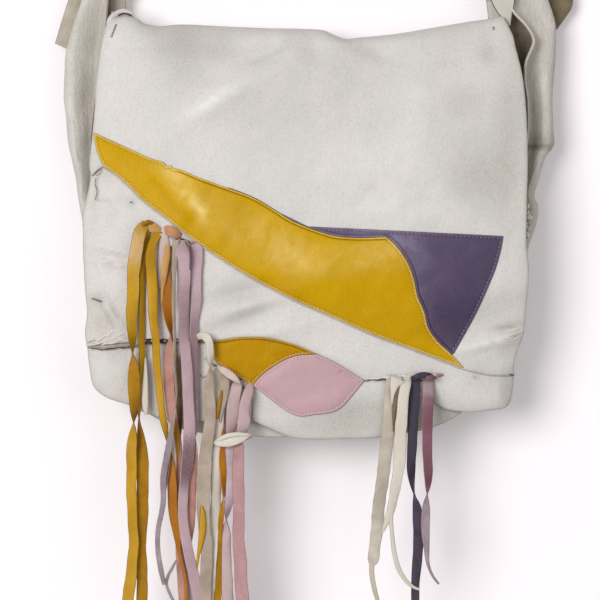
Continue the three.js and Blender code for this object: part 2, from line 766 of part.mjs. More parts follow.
fringe.forEach(({ name, colour, ...shape }) => add(name, strip(shape), colour));
add('fringe_tie', tie(), CREAM);
add('strap', strap(), SUEDE);

const part = new THREE.Group();
part.name = 'fringe_messenger_bag';
part.add(bag);

export default part;
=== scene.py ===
"""A fringed leather messenger bag hung by its strap: limp cream leather, sewn colour blocks and laced fringe."""

import logging
import math
from collections.abc import Callable, Sequence
from dataclasses import dataclass, field
from enum import Enum
from typing import ClassVar

import bpy
import numpy as np
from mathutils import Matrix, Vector
from mathutils.geometry import delaunay_2d_cdt


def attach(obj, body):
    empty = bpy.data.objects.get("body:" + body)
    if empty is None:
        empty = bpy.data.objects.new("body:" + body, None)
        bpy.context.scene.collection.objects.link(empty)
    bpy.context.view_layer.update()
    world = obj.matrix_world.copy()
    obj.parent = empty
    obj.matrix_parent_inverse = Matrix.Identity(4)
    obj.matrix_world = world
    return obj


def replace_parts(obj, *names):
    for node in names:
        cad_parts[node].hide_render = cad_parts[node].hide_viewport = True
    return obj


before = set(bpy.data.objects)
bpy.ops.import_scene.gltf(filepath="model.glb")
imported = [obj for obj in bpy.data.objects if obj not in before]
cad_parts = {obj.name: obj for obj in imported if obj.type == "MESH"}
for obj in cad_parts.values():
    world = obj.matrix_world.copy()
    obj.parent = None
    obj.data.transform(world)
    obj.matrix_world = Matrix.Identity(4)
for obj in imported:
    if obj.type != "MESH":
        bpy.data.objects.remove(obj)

logging.basicConfig(level=logging.INFO, format="%(message)s")
log = logging.getLogger("bag")

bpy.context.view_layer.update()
MM = 0.001
TOP_FOLD = -400.0
FRONT = np.array([0.0, -1.0, 0.0])
SHARP_EDGE = math.radians(42)
LEAST_STEP = 0.3
TRIANGLE_RISE = 0.866

Array = np.ndarray
Colour = tuple[float, float, float]
Knots = Sequence[Sequence[float]]
Placer = Callable[[Array, Array], Array]
Piece = bpy.types.Object
Socket = bpy.types.NodeSocket
Feed = Socket | float | tuple
Feeds = dict[str | int, Feed]
Rows = tuple[tuple[float, ...], ...]


class Slot(Enum):
    """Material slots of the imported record."""

    CREAM = "cream_leather"
    YELLOW = "yellow_leather"
    PURPLE = "purple_leather"
    PINK = "pink_leather"
    LILAC = "lilac_leather"
    SALMON = "salmon_leather"
    AMBER = "amber_leather"
    PLUM = "plum_leather"
    SUEDE = "cream_suede"
    STRAP = "strap_leather"


class Layer(Enum):
    """How far each layer of the flap lies in front of the flap's inner face, in mm."""

    LEFT_LOBE = 0.0
    CENTRE_LOBE = 1.9
    LOWER_PANEL = 3.8
    UPPER_PANEL = 5.7
    PATCH = 7.6


class Lane(Enum):
    """How far in front of the upper panel's layer a fringe strip hangs, in mm."""

    FAR = 3.4
    NEAR = 8.0
    FIRST = 12.6


class Side(Enum):
    """Left or right of the bag, as seen from its front."""

    LEFT = -1
    RIGHT = 1


def linear(colour: Colour) -> tuple[float, float, float, float]:
    """Turns a 0 to 255 display colour into the linear colour that a shader takes."""
    share = [c / 255 for c in colour]
    return (*(c / 12.92 if c <= 0.04045 else ((c + 0.055) / 1.055) ** 2.4 for c in share), 1.0)


def curve(knots: Knots, step: float, axes: int = 2) -> Array:
    """Runs a smooth curve through knots.

    Args:
        knots: Points whose first columns are the place and whose others go along with it.
        step: Rough distance between samples.
        axes: How many leading columns are the place.

    Returns:
        The samples, one row each, first and last knot among them.
    """
    points = np.asarray(knots, float)
    if len(points) < 2:
        return points
    chord = np.linalg.norm(np.diff(points[:, :axes], axis=0), axis=1)
    gaps = np.sqrt(np.maximum(chord, 1e-6))[:, None]
    slope = np.diff(points, axis=0) / gaps
    tangent = np.vstack([slope[:1], slope[-1:]])
    if len(points) > 2:
        inner = (slope[:-1] * gaps[1:] + slope[1:] * gaps[:-1]) / (gaps[:-1] + gaps[1:])
        tangent = np.vstack([slope[:1], inner, slope[-1:]])
    rows = []
    for i, long in enumerate(chord):
        count = max(1, math.ceil(long / step))
        t = (np.arange(count) / count)[:, None]
        rows.append(
            (2 * t**3 - 3 * t**2 + 1) * points[i]
            + (t**3 - 2 * t**2 + t) * gaps[i] * tangent[i]
            + (3 * t**2 - 2 * t**3) * points[i + 1]
            + (t**3 - t**2) * gaps[i] * tangent[i + 1]
        )
    return np.vstack([*rows, points[-1:]])


def outline(*runs: Knots, step: float = 2.0) -> Array:
    """Joins smooth runs into one closed outline with a corner where two runs meet.

    Args:
        runs: Knots of each run.
        step: Rough distance between samples.

    Returns:
        The outline, turning left.
    """
    points = np.vstack([curve(run, step) for run in runs])
    keep = [0]
    for i in range(1, len(points)):
        if np.linalg.norm(points[i] - points[keep[-1]]) > LEAST_STEP:
            keep.append(i)
    if np.linalg.norm(points[keep[-1]] - points[0]) < LEAST_STEP:
        keep.pop()
    points = points[keep]
    x, z = points.T
    area = np.sum(x * np.roll(z, -1) - z * np.roll(x, -1))
    return points if area > 0 else points[::-1].copy()


def distance(points: Array, path: Array, closed: bool = True) -> Array:
    """Finds how far points are from a path of straight pieces.

    Args:
        points: Places.
        path: Corners of the path.
        closed: Whether the path's end joins its start.

    Returns:
        The distance of each point.
    """
    start = path if closed else path[:-1]
    reach = (np.roll(path, -1, axis=0) if closed else path[1:]) - start
    length = np.maximum((reach**2).sum(axis=1), 1e-9)
    found = np.empty(len(points))
    batch = 2000
    for i in range(0, len(points), batch):
        part = points[i : i + batch, None, :] - start[None]
        along = np.clip((part * reach[None]).sum(axis=2) / length, 0, 1)
        off = part - along[:, :, None] * reach[None]
        found[i : i + batch] = np.sqrt((off**2).sum(axis=2).min(axis=1))
    return found


def inside(points: Array, path: Array) -> Array:
    """Tells which points lie inside a closed path.

    Args:
        points: Places.
        path: Corners of the path.

    Returns:
        True for each point that lies inside.
    """
    found = np.zeros(len(points), bool)
    x, z = points.T
    for (ax, az), (bx, bz) in zip(path, np.roll(path, -1, axis=0)):
        if az != bz:
            found ^= ((az > z) != (bz > z)) & (x < (bx - ax) * (z - az) / (bz - az) + ax)
    return found


def ease(value: Array, low: float, high: float) -> Array:
    """Smooth step from 0 at low to 1 at high."""
    t = np.clip((np.asarray(value, float) - low) / (high - low), 0, 1)
    return t * t * (3 - 2 * t)


def unit(vectors: Array) -> Array:
    """Vectors of length one."""
    return vectors / np.maximum(np.linalg.norm(vectors, axis=-1, keepdims=True), 1e-9)


def ripple(x: Array, z: Array, wave: float, seed: int) -> Array:
    """Soft irregular waves of about unit height.

    Args:
        x: Places across.
        z: Places down.
        wave: Mean wavelength, in mm.
        seed: Which pattern of waves.

    Returns:
        The height at each place.
    """
    dice = np.random.default_rng(seed)
    height = np.zeros(np.broadcast(x, z).shape)
    for _ in range(9):
        way, start = dice.uniform(0, 2 * math.pi, 2)
        size = 2 * math.pi / (wave * dice.uniform(0.65, 1.6))
        height += np.sin(size * (np.cos(way) * x + np.sin(way) * z) + start)
    return height / 3


class NodeBench:
    """Wires the nodes of one material."""

    def __init__(self, name: str) -> None:
        """Opens an empty material with a Principled shader on its output.

        Args:
            name: The material's name.
        """
        self.material = bpy.data.materials.new(name)
        self.material.use_nodes = True
        self.tree = self.material.node_tree
        self.tree.nodes.clear()
        self.shader = self.node("BsdfPrincipled", {})
        self.output = self.node("OutputMaterial", {"Surface": self.shader.outputs[0]})
        self.place = self.node("TexCoord", {}).outputs["Object"]

    def feed(self, node: bpy.types.Node, feeds: Feeds) -> None:
        """Wires sockets to a node's inputs, or sets the inputs to plain values.

        Args:
            node: The node that is fed.
            feeds: What each input gets, by its name or number.
        """
        for key, value in feeds.items():
            if isinstance(value, Socket):
                self.tree.links.new(value, node.inputs[key])
            else:
                node.inputs[key].default_value = value

    def node(self, kind: str, feeds: Feeds, **settings: str) -> bpy.types.Node:
        """Adds a node.

        Args:
            kind: The kind of node.
            feeds: What each input gets.
            settings: What is chosen on the node.

        Returns:
            The node.
        """
        node = self.tree.nodes.new(f"ShaderNode{kind}")
        for key, value in settings.items():
            setattr(node, key, value)
        self.feed(node, feeds)
        return node

    def noise(
        self, scale: float, detail: float = 3.0, rough: float = 0.5, bend: float = 0.0, stretch: Colour | None = None
    ) -> Socket:
        """Adds a noise in the object's own metres.

        Args:
            scale: Features to the metre.
            detail: Octaves.
            rough: Weight of the finer octaves.
            bend: Distortion.
            stretch: Scale of each axis, where the noise runs in fibres.

        Returns:
            The noise's value.
        """
        start = self.node("Mapping", {"Scale": stretch, "Vector": self.place}).outputs[0] if stretch else self.place
        feeds = {"Scale": scale, "Detail": detail, "Roughness": rough, "Distortion": bend, "Vector": start}
        return self.node("TexNoise", feeds).outputs["Fac"]

    def pebbles(self, scale: float) -> Socket:
        """Adds the cells of a pebbled grain, high in the middle of each."""
        feeds = {"Scale": scale, "Smoothness": 0.35, "Vector": self.place}
        return self.spread(self.node("TexVoronoi", feeds, feature="SMOOTH_F1").outputs["Distance"], 0, 0.75, 1, 0)

    def painted(self, name: str) -> Socket:
        """Reads a value that is painted on the mesh's points."""
        return self.node("Attribute", {}, attribute_name=name).outputs["Fac"]

    def spread(self, value: Socket, low: float, high: float, to_low: float, to_high: float) -> Socket:
        """Maps low..high to to_low..to_high, clamped."""
        return self.node("MapRange", {0: value, 1: low, 2: high, 3: to_low, 4: to_high}).outputs[0]

    def sum_up(self, way: str, a: Socket, b: Feed) -> Socket:
        """Combines two values with one arithmetic step."""
        return self.node("Math", {0: a, 1: b}, operation=way).outputs[0]

    def times(self, a: Socket, b: Feed) -> Socket:
        """Multiplies two values."""
        return self.sum_up("MULTIPLY", a, b)

    def blend(self, share: Socket, a: Feed, b: Feed) -> Socket:
        """Mixes two colours by a share."""
        return self.node("Mix", {0: share, 6: a, 7: b}, data_type="RGBA").outputs[2]

    def bump(self, height: Socket, deep: float, strength: float, under: Socket | None = None) -> Socket:
        """Adds a bump, on top of another one if given; deep is in mm."""
        feeds = {"Distance": deep * MM, "Strength": strength, "Height": height}
        return self.node("Bump", feeds if under is None else {**feeds, "Normal": under}).outputs[0]


@dataclass(frozen=True)
class Finish:
    """What a face of a piece is made of: a main colour that clouds over into a shade."""

    name: str
    colour: Colour
    shade: Colour

    def material(self) -> bpy.types.Material:
        """Makes the finish's material once and hands it out.

        Returns:
            The material.
        """
        made = bpy.data.materials.get(self.name)
        if made:
            return made
        bench = NodeBench(self.name)
        bench.feed(bench.shader, self.dress(bench))
        return bench.material

    def clouded(self, bench: NodeBench, cloud: Socket, low: float = 0.34, high: float = 0.68) -> Socket:
        """The main colour, with the shade where the cloud is high."""
        return bench.blend(bench.spread(cloud, low, high, 0, 1), linear(self.colour), linear(self.shade))

    def dress(self, bench: NodeBench) -> Feeds:
        """Wires the finish's own nodes and hands out what the shader gets."""
        raise NotImplementedError


@dataclass(frozen=True)
class Leather(Finish):
    """Soft tanned leather: pebbled grain, cloudy colour, dirty and burnished places, with painted shade and painted
    highlights.
    """

    # Colour of dirt and of the grain's pores, and the colour that painted shade darkens towards.
    soil_and_shade: Colour
    rough: float = 0.5
    grain: float = 0.14
    pebble: float = 1.2
    cloud: float = 40.0
    shine: float = 0.36
    fleck: float = 0.1
    # Colour of burnished leather, and of painted highlights and glints.
    burnish_and_highlight: Colour = (232, 229, 226)
    wrinkle: float = 0.12
    tint: Colour | None = None

    def dress(self, bench: NodeBench) -> Feeds:
        """Wires the leather: dirty places and painted shade darken, burnished places and painted highlights lighten,
        and wrinkle lines get painted shade.

        Args:
            bench: Takes the nodes.

        Returns:
            What the shader gets.
        """
        mottle = bench.noise(480, 3, 0.6)
        hair = bench.noise(70, 5, 0.55, 0.9)
        fine = bench.noise(2300, 2, 0.5)
        cells = bench.pebbles(1000 / self.pebble)
        shade, soil_and_shade = linear(self.shade), linear(self.soil_and_shade)
        tone = self.clouded(bench, bench.noise(self.cloud, 3, 0.5, 0.3))
        if self.tint:
            flush = bench.noise(2.3 * self.cloud, 4, 0.6, 0.8)
            tone = bench.blend(bench.spread(flush, 0.46, 0.62, 0, 0.75), tone, linear(self.tint))
        tone = bench.blend(bench.spread(mottle, 0.45, 0.8, 0, 0.6), tone, shade)
        pores = bench.times(bench.spread(cells, 0.0, 0.45, self.fleck, 0.0), bench.spread(mottle, 0.35, 0.65, 0.3, 1))
        tone = bench.blend(pores, tone, soil_and_shade)
        # The painted value darkens towards soil_and_shade for dirt and painted shade, and lightens towards
        # burnish_and_highlight for burnished places and painted highlights.
        worn_and_shaded = bench.painted("wear_and_shading")
        soiled_and_shaded = bench.times(bench.spread(worn_and_shaded, 0, 1, 0, 1), bench.spread(mottle, 0.3, 0.62, 0.75, 1))
        tone = bench.blend(soiled_and_shaded, tone, soil_and_shade)
        wear_light_and_shade = bench.times(bench.spread(worn_and_shaded, -1, 0, 1, 0), bench.spread(hair, 0.38, 0.6, 0.45, 1.2))
        tone = bench.blend(wear_light_and_shade, tone, linear(self.burnish_and_highlight))
        # Wrinkle lines are darkened as painted shade along the creases that their bump draws.
        lines = bench.noise(300, 4, 0.6, 1.0, (1, 1, 0.25))
        crease_shade_lines = bench.times(bench.spread(lines, 0.46, 0.5, 0, 1), bench.spread(lines, 0.5, 0.54, 1, 0))
        tone = bench.blend(bench.times(crease_shade_lines, 0.32 * self.wrinkle), tone, soil_and_shade)
        folds = bench.bump(lines, 1.3, self.wrinkle, bench.bump(hair, 1.0, 0.6 * self.grain))
        skin = bench.bump(cells, 0.24, self.grain, folds)
        return {
            "Base Color": tone,
            "Roughness": bench.spread(hair, 0.3, 0.7, self.rough - 0.07, self.rough + 0.09),
            "Specular IOR Level": self.shine,
            "Normal": bench.bump(fine, 0.1, self.grain, skin),
        }


@dataclass(frozen=True)
class Suede(Finish):
    """The fleshy side of leather, or its raw cut edge: matt, fibrous and uneven."""

    nap: float = 0.5

    def dress(self, bench: NodeBench) -> Feeds:
        """Wires the suede's clouds and fibres.

        Args:
            bench: Takes the nodes.

        Returns:
            What the shader gets.
        """
        fibre = bench.noise(900, 4, 0.65, 0.6, (1, 1, 0.35))
        tone = self.clouded(bench, bench.noise(60, 4, 0.6, 0.5))
        return {
            "Base Color": bench.blend(bench.spread(fibre, 0.48, 0.75, 0, 0.6), tone, linear(self.shade)),
            "Roughness": bench.spread(fibre, 0.3, 0.7, 0.82, 0.98),
            "Specular IOR Level": 0.2,
            "Sheen Weight": 0.12,
            "Normal": bench.bump(fibre, 0.5, self.nap),
        }


@dataclass(frozen=True)
class Thread(Finish):
    """Twisted sewing thread."""

    def dress(self, bench: NodeBench) -> Feeds:
        """Wires the thread's twist and its age.

        Args:
            bench: Takes the nodes.

        Returns:
            What the shader gets.
        """
        twist = bench.noise(2600, 2, 0.5, 0.3, (1, 1, 2.2))
        tone = self.clouded(bench, bench.noise(70, 3, 0.5), 0.35, 0.7)
        return {
            "Base Color": bench.blend(bench.spread(twist, 0.5, 0.75, 0, 0.5), tone, linear(self.shade)),
            "Roughness": bench.spread(twist, 0.3, 0.7, 0.6, 0.85),
            "Normal": bench.bump(twist, 0.15, 0.5),
        }


CREAM = Leather(
    "cream leather", (216, 212, 208), (205, 205, 201), (132, 122, 108),
    0.56, 0.42, 1.9, 15, 0.36, 0.13, (236, 233, 229), 0.16, (218, 210, 206),
)
CREAM_BODY = Leather(
    "body leather", (214, 209, 202), (198, 194, 185), (110, 97, 82),
    0.58, 0.3, 1.6, 26, 0.3, 0.1, (222, 220, 216), 0.55,
)
CREAM_STRIP = Leather("cream strip", (219, 213, 201), (204, 196, 182), (140, 124, 106), 0.6, 0.18, 1.2, 18)
YELLOW = Leather(
    "golden yellow leather", (203, 160, 4), (191, 147, 0), (108, 80, 8),
    0.4, 0.12, 1.3, 22, 0.07, 0.05, (238, 208, 124), 0.26,
)
LEAF_YELLOW = Leather(
    "amber yellow leather", (190, 143, 4), (177, 128, 0), (104, 74, 8),
    0.42, 0.12, 1.3, 26, 0.08, 0.05, (222, 180, 84), 0.3,
)
PURPLE = Leather(
    "dark purple leather", (92, 78, 106), (80, 67, 93), (48, 31, 62),
    0.46, 0.15, 1.2, 24, 0.3, 0.1, (126, 114, 138), 0.16,
)
PINK = Leather(
    "rose pink leather", (195, 161, 165), (189, 154, 158), (140, 106, 106),
    0.5, 0.14, 1.2, 24, 0.3, 0.06, (208, 178, 180),
)
YELLOW_STRIP = Leather("yellow strip", (196, 150, 16), (178, 132, 6), (110, 76, 6), shine=0.3)
AMBER_STRIP = Leather("amber strip", (182, 114, 14), (160, 96, 8), (92, 56, 6), shine=0.26)
LILAC_STRIP = Leather("lilac strip", (190, 163, 170), (170, 143, 150), (104, 76, 82), cloud=34)
PINK_STRIP = Leather("pink strip", (196, 172, 173), (182, 155, 156), (126, 100, 100))
PURPLE_STRIP = Leather("purple strip", (60, 51, 70), (49, 41, 57), (34, 28, 40))
PLUM_STRIP = Leather("plum strip", (128, 82, 96), (110, 67, 80), (66, 42, 52))
BLUSH = Leather("blush strip", (216, 200, 192), (198, 178, 168), (150, 124, 112), 0.6)
STRAP_FACE = Leather(
    "strap leather", (208, 206, 198), (194, 190, 180), (132, 120, 104),
    0.55, 0.2, 1.3, 22, 0.3, 0.1, (222, 220, 214), 0.3,
)

CREAM_SUEDE = Suede("cream suede", (203, 195, 182), (178, 167, 152))
PALE_LILAC = Suede("pale lilac suede", (206, 188, 194), (184, 165, 172))
SAND_SUEDE = Suede("sand suede", (185, 169, 154), (160, 143, 127))
SHADE_SUEDE = Suede("lining suede", (164, 150, 132), (130, 116, 100))
OCHRE_SUEDE = Suede("ochre suede", (176, 128, 26), (148, 102, 14))
SALMON_SUEDE = Suede("salmon suede", (199, 150, 138), (180, 129, 115))
PLUM_SUEDE = Suede("plum grey suede", (120, 94, 100), (96, 72, 78))
ASH_SUEDE = Suede("ash mauve suede", (168, 154, 160), (136, 120, 128))
MAUVE_SUEDE = Suede("mauve suede", (174, 150, 156), (152, 128, 134))
ROSE_SUEDE = Suede("rose suede", (191, 151, 152), (173, 131, 133))
DARK_SUEDE = Suede("dark purple suede", (84, 73, 90), (66, 57, 72))
TAN_SUEDE = Suede("tan suede", (206, 162, 102), (184, 138, 78))
APRICOT_SUEDE = Suede("apricot suede", (194, 144, 106), (160, 110, 76))
GREY_SUEDE = Suede("grey strap suede", (190, 182, 170), (168, 158, 144))
# Khaki suede for a strap tail, also the lens painted in as a shaded fold between two right-hand cream strips.
KHAKI_SUEDE_AND_SHADE = Suede("khaki strap suede and fold shade", (132, 118, 94), (100, 88, 66))
# Brown suede for a lace and a strap tail's edge, also laid in as painted shadow in the open seam, inside the rolled
# ear and under creases.
BROWN_SUEDE_AND_SHADOW = Suede("brown suede and seam shadow", (104, 82, 60), (66, 50, 36), 0.8)
# Cut edges; also thin rolls of painted shade in the flap's wrinkles and under its puckers.
CREAM_EDGE_AND_SHADE = Suede("cream cut edge and crease shade", (190, 180, 166), (146, 132, 114), 0.3)
YELLOW_EDGE = Suede("yellow cut edge", (138, 104, 30), (100, 72, 18), 0.3)
PURPLE_EDGE = Suede("purple cut edge", (72, 60, 72), (50, 42, 50), 0.3)
PINK_EDGE = Suede("pink cut edge", (156, 118, 116), (128, 94, 90), 0.3)
LILAC_EDGE = Suede("lilac cut edge", (206, 186, 182), (172, 148, 146), 0.3)
PEACH_EDGE = Suede("peach cut edge", (204, 158, 112), (170, 122, 80), 0.3)

PALE_THREAD = Thread("pale thread", (228, 212, 168), (204, 182, 120))
WHITE_THREAD = Thread("white thread", (222, 218, 220), (186, 180, 186))
CREAM_THREAD = Thread("cream thread", (206, 198, 184), (176, 166, 150))
DARK_THREAD = Thread("dark thread", (92, 82, 70), (64, 56, 48))
OLIVE_THREAD = Thread("olive thread", (104, 80, 22), (78, 58, 12))
MAUVE_THREAD = Thread("mauve thread", (172, 160, 178), (128, 116, 136))


class Skin:
    """Gathers the points and faces of one piece, in mm from the middle of the top fold."""

    def __init__(self) -> None:
        """Starts with nothing in hand."""
        self.points: list[Array] = []
        self.wear_and_shading: list[Array] = []
        self.faces: list[tuple[int, ...]] = []
        self.finish: list[int] = []
        self.count = 0

    def add(
        self,
        points: Array,
        faces: Sequence[Sequence[int]],
        finish: Sequence[int] | int = 0,
        wear_and_shading: Array | float = 0.0,
    ) -> None:
        """Adds points with the faces between them.

        Args:
            points: Places.
            faces: Rows of places in the list above.
            finish: Finish number of each face, or one for all.
            wear_and_shading: How dirty each is painted, with painted shade, or how burnished and lit by painted
                highlight where negative.
        """
        self.points.append(np.asarray(points, float))
        self.wear_and_shading.append(np.broadcast_to(np.asarray(wear_and_shading, float), (len(points),)))
        self.faces.extend(tuple(int(i) + self.count for i in face) for face in faces)
        self.finish.extend([finish] * len(faces) if isinstance(finish, int) else list(finish))
        self.count += len(points)

    def make(self, name: str, finishes: Sequence[Finish]) -> Piece:
        """Makes the piece and lets it ride on the bag.

        Args:
            name: The piece's name.
            finishes: Finishes that the faces number.

        Returns:
            The new object.
        """
        places = np.vstack(self.points)
        places[:, 2] += TOP_FOLD
        mesh = bpy.data.meshes.new(name)
        mesh.from_pydata((places * MM).tolist(), [], self.faces)
        mesh.polygons.foreach_set("material_index", self.finish)
        mesh.polygons.foreach_set("use_smooth", [True] * len(self.faces))
        # One painted value per point: dirt and painted shade where positive, burnished places and painted highlights
        # where negative.
        paint = mesh.attributes.new("wear_and_shading", "FLOAT", "POINT")
        paint.data.foreach_set("value", np.concatenate(self.wear_and_shading).astype(np.float32))
        for finish in finishes:
            mesh.materials.append(finish.material())
        mesh.validate()
        mesh.update()
        mesh.set_sharp_from_angle(angle=SHARP_EDGE)
        piece = bpy.data.objects.new(name, mesh)
        bpy.context.scene.collection.objects.link(piece)
        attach(piece, "root")
        log.info("%s: %d faces", name, len(mesh.polygons))
        return piece


@dataclass
class Cut:
    """A flat cut of leather: its outline, the slits in it and how fine its skin is."""

    edge: Array
    slits: tuple[Array, ...] = ()
    pitch: float = 3.2
    rows: tuple[float, ...] = (1.0, 2.4)

    def flat(self) -> tuple[Array, Array, Array]:
        """Fills the outline with triangles.

        Returns:
            The points, the triangles between them, and each point's distance to the edge.
        """
        loops = [self.edge, *self.slits]
        border = np.vstack(loops)
        low, high = self.edge.min(axis=0), self.edge.max(axis=0)
        rise = self.pitch * TRIANGLE_RISE
        lines = np.arange(low[1], high[1] + rise, rise)
        grid = [
            (x + (i % 2) * self.pitch / 2, z)
            for i, z in enumerate(lines)
            for x in np.arange(low[0], high[0] + self.pitch, self.pitch)
        ]
        filled = np.asarray(grid)
        last = self.rows[-1] if self.rows else 0.0
        filled = filled[inside(filled, self.edge)]
        filled = filled[distance(filled, self.edge) > last + 0.55 * self.pitch]
        inner = [filled]
        for row in self.rows:
            moved = self.inset(row)
            inner.append(moved[(distance(moved, self.edge) > 0.93 * row) & inside(moved, self.edge)])
        extra = np.vstack(inner)
        for slit in self.slits:
            extra = extra[(distance(extra, slit) > 0.8) & ~inside(extra, slit)]
        edges, start = [], 0
        for loop in loops:
            count = len(loop)
            edges += [(start + i, start + (i + 1) % count) for i in range(count)]
            start += count
        places = [Vector(p) for p in np.vstack([border, extra])]
        made = delaunay_2d_cdt(places, edges, [], 1, 1e-5)
        points = np.array([tuple(p) for p in made[0]])
        triangles = np.array([face for face in made[2] if len(face) == 3])
        middle = points[triangles].mean(axis=1)
        keep = np.ones(len(triangles), bool)
        for slit in self.slits:
            keep &= ~inside(middle, slit)
        triangles = triangles[keep]
        a, b, c = points[triangles].transpose(1, 0, 2)
        turn = (b[:, 0] - a[:, 0]) * (c[:, 1] - a[:, 1]) - (b[:, 1] - a[:, 1]) * (c[:, 0] - a[:, 0])
        triangles[turn < 0] = triangles[turn < 0][:, ::-1]
        used, back = np.unique(triangles, return_inverse=True)
        points, triangles = points[used], back.reshape(triangles.shape)
        off = distance(points, self.edge)
        for slit in self.slits:
            off = np.minimum(off, distance(points, slit))
        return points, triangles, off

    def inset(self, deep: float) -> Array:
        """The outline's points moved inwards."""
        along = unit(np.roll(self.edge, -1, axis=0) - np.roll(self.edge, 1, axis=0))
        return self.edge + deep * np.stack([-along[:, 1], along[:, 0]], axis=1)

    def area(self) -> float:
        """Area inside the outline, in square metres."""
        x, z = self.edge.T
        return float(np.sum(x * np.roll(z, -1) - z * np.roll(x, -1)) / 2) * MM * MM

    def sheet(
        self,
        skin: Skin,
        place: Placer,
        lift: float,
        thick: float,
        puff: Placer | None = None,
        wear_and_shading: Placer | None = None,
        flip: bool = False,
    ) -> None:
        """Lays the cut on a surface as a closed skin with a rounded edge.

        Args:
            skin: Takes the faces: 0 on the grain side, 1 on the flesh side, 2 on the cut edge.
            place: Puts flat points, with how far each is lifted, on the surface.
            lift: Where the flesh side lies.
            thick: Thickness of the leather.
            puff: Extra lift of the grain side by place and distance to the edge.
            wear_and_shading: How dirty and shaded the grain side is painted, or burnished and lit where negative, by
                place and distance to the edge.
            flip: Whether the grain side faces backwards.
        """
        points, triangles, off = self.flat()
        swell = puff(points, off) if puff else np.zeros(len(points))
        wear_light_and_shade = wear_and_shading(points, off) if wear_and_shading else np.zeros(len(points))
        lip = 0.3 * thick * np.exp(-((off / 0.7) ** 2))
        front = place(points, lift + thick + swell - lip)
        back = place(points, lift)
        pairs = np.vstack([triangles[:, [0, 1]], triangles[:, [1, 2]], triangles[:, [2, 0]]])
        key = np.sort(pairs, axis=1)
        _, first, uses = np.unique(key, axis=0, return_index=True, return_counts=True)
        rim = pairs[first[uses == 1]]
        ends = np.unique(rim)
        rank = {int(v): i for i, v in enumerate(ends)}
        outward = np.zeros((len(points), 2))
        for i, j in rim:
            reach = points[j] - points[i]
            out = np.array([reach[1], -reach[0]]) / max(float(np.hypot(*reach)), 1e-9)
            outward[i] += out
            outward[j] += out
        bulge = points[ends] + 0.22 * thick * unit(outward[ends])
        middle = place(bulge, lift + 0.45 * thick + 0.5 * swell[ends])
        n = len(points)
        faces = [tuple(t) for t in triangles] + [tuple(t[::-1] + n) for t in triangles]
        finish = [0] * len(triangles) + [1] * len(triangles)
        for i, j in rim:
            a, b = 2 * n + rank[int(i)], 2 * n + rank[int(j)]
            faces += [(i, a, b, j), (a, i + n, j + n, b)]
            finish += [2, 2]
        if flip:
            faces = [tuple(reversed(face)) for face in faces]
        places = np.vstack([front, back, middle])
        skin.add(places, faces, finish, np.concatenate([wear_light_and_shade, wear_light_and_shade * 0, np.full(len(ends), 0.4)]))


@dataclass(frozen=True)
class Needle:
    """One row of machine stitches."""

    pitch: float = 2.75
    length: float = 1.8
    radius: float = 0.3
    inset: float = 1.8

    def sew(self, skin: Skin, path: Array, out: Array, finish: int = 0, seed: int = 1) -> None:
        """Sets stitches along a path in space.

        Args:
            skin: Takes the stitches.
            path: Points of the row.
            out: Which way the leather faces.
            finish: Finish number of the thread.
            seed: Small differences between stitches.
        """
        dice = np.random.default_rng(seed)
        steps = np.linalg.norm(np.diff(path, axis=0), axis=1)
        along = np.concatenate([[0], np.cumsum(steps)])
        for i in range(int(along[-1] / self.pitch)):
            middle = (i + 0.5) * self.pitch + dice.uniform(-0.15, 0.15)
            half = self.length / 2 * dice.uniform(0.88, 1.08)
            start, end = (
                np.array([np.interp(s, along, path[:, k]) for k in range(3)]) for s in (middle - half, middle + half)
            )
            if np.linalg.norm(end - start) >= 0.8 * self.length:
                self.stitch(skin, start, end, out, finish)

    def stitch(self, skin: Skin, start: Array, end: Array, out: Array, finish: int = 0) -> None:
        """Makes one stitch that dips into the leather at both ends.

        Args:
            skin: Takes the stitch.
            start: Where the needle comes out.
            end: Where it goes in again.
            out: Which way the leather faces.
            finish: Finish number of the thread.
        """
        reach = end - start
        side = unit(np.cross(reach, out))
        sides = 6
        turn = np.arange(sides) * math.pi / 3
        rings = []
        for share, high, wide in ((0, -0.8, 0.5), (0.16, 0.35, 0.9), (0.5, 0.75, 1), (0.84, 0.35, 0.9),
            (1, -0.8, 0.5)):
            middle = start + share * reach + out * self.radius * high
            ring = np.cos(turn)[:, None] * side + 0.75 * np.sin(turn)[:, None] * out
            rings.append(middle + self.radius * wide * ring)
        skin.add(np.vstack(rings), tube(len(rings), sides), finish)


def tube(rings: int, sides: int, flip: bool = False) -> list[tuple[int, ...]]:
    """Closes rings of points into a skin, with a lid at both ends.

    Args:
        rings: How many rings there are.
        sides: How many points each has.
        flip: Whether the rings turn the other way round.

    Returns:
        The faces.
    """
    faces: list[tuple[int, ...]] = []
    for i in range(rings - 1):
        for k in range(sides):
            a, b = i * sides + k, i * sides + (k + 1) % sides
            faces.append((a, b, b + sides, a + sides) if flip else (a, a + sides, b + sides, b))
    last = (rings - 1) * sides
    lids = [tuple(range(sides)), tuple(range(last + sides - 1, last - 1, -1))]
    return faces + [lid[::-1] if flip else lid for lid in lids]


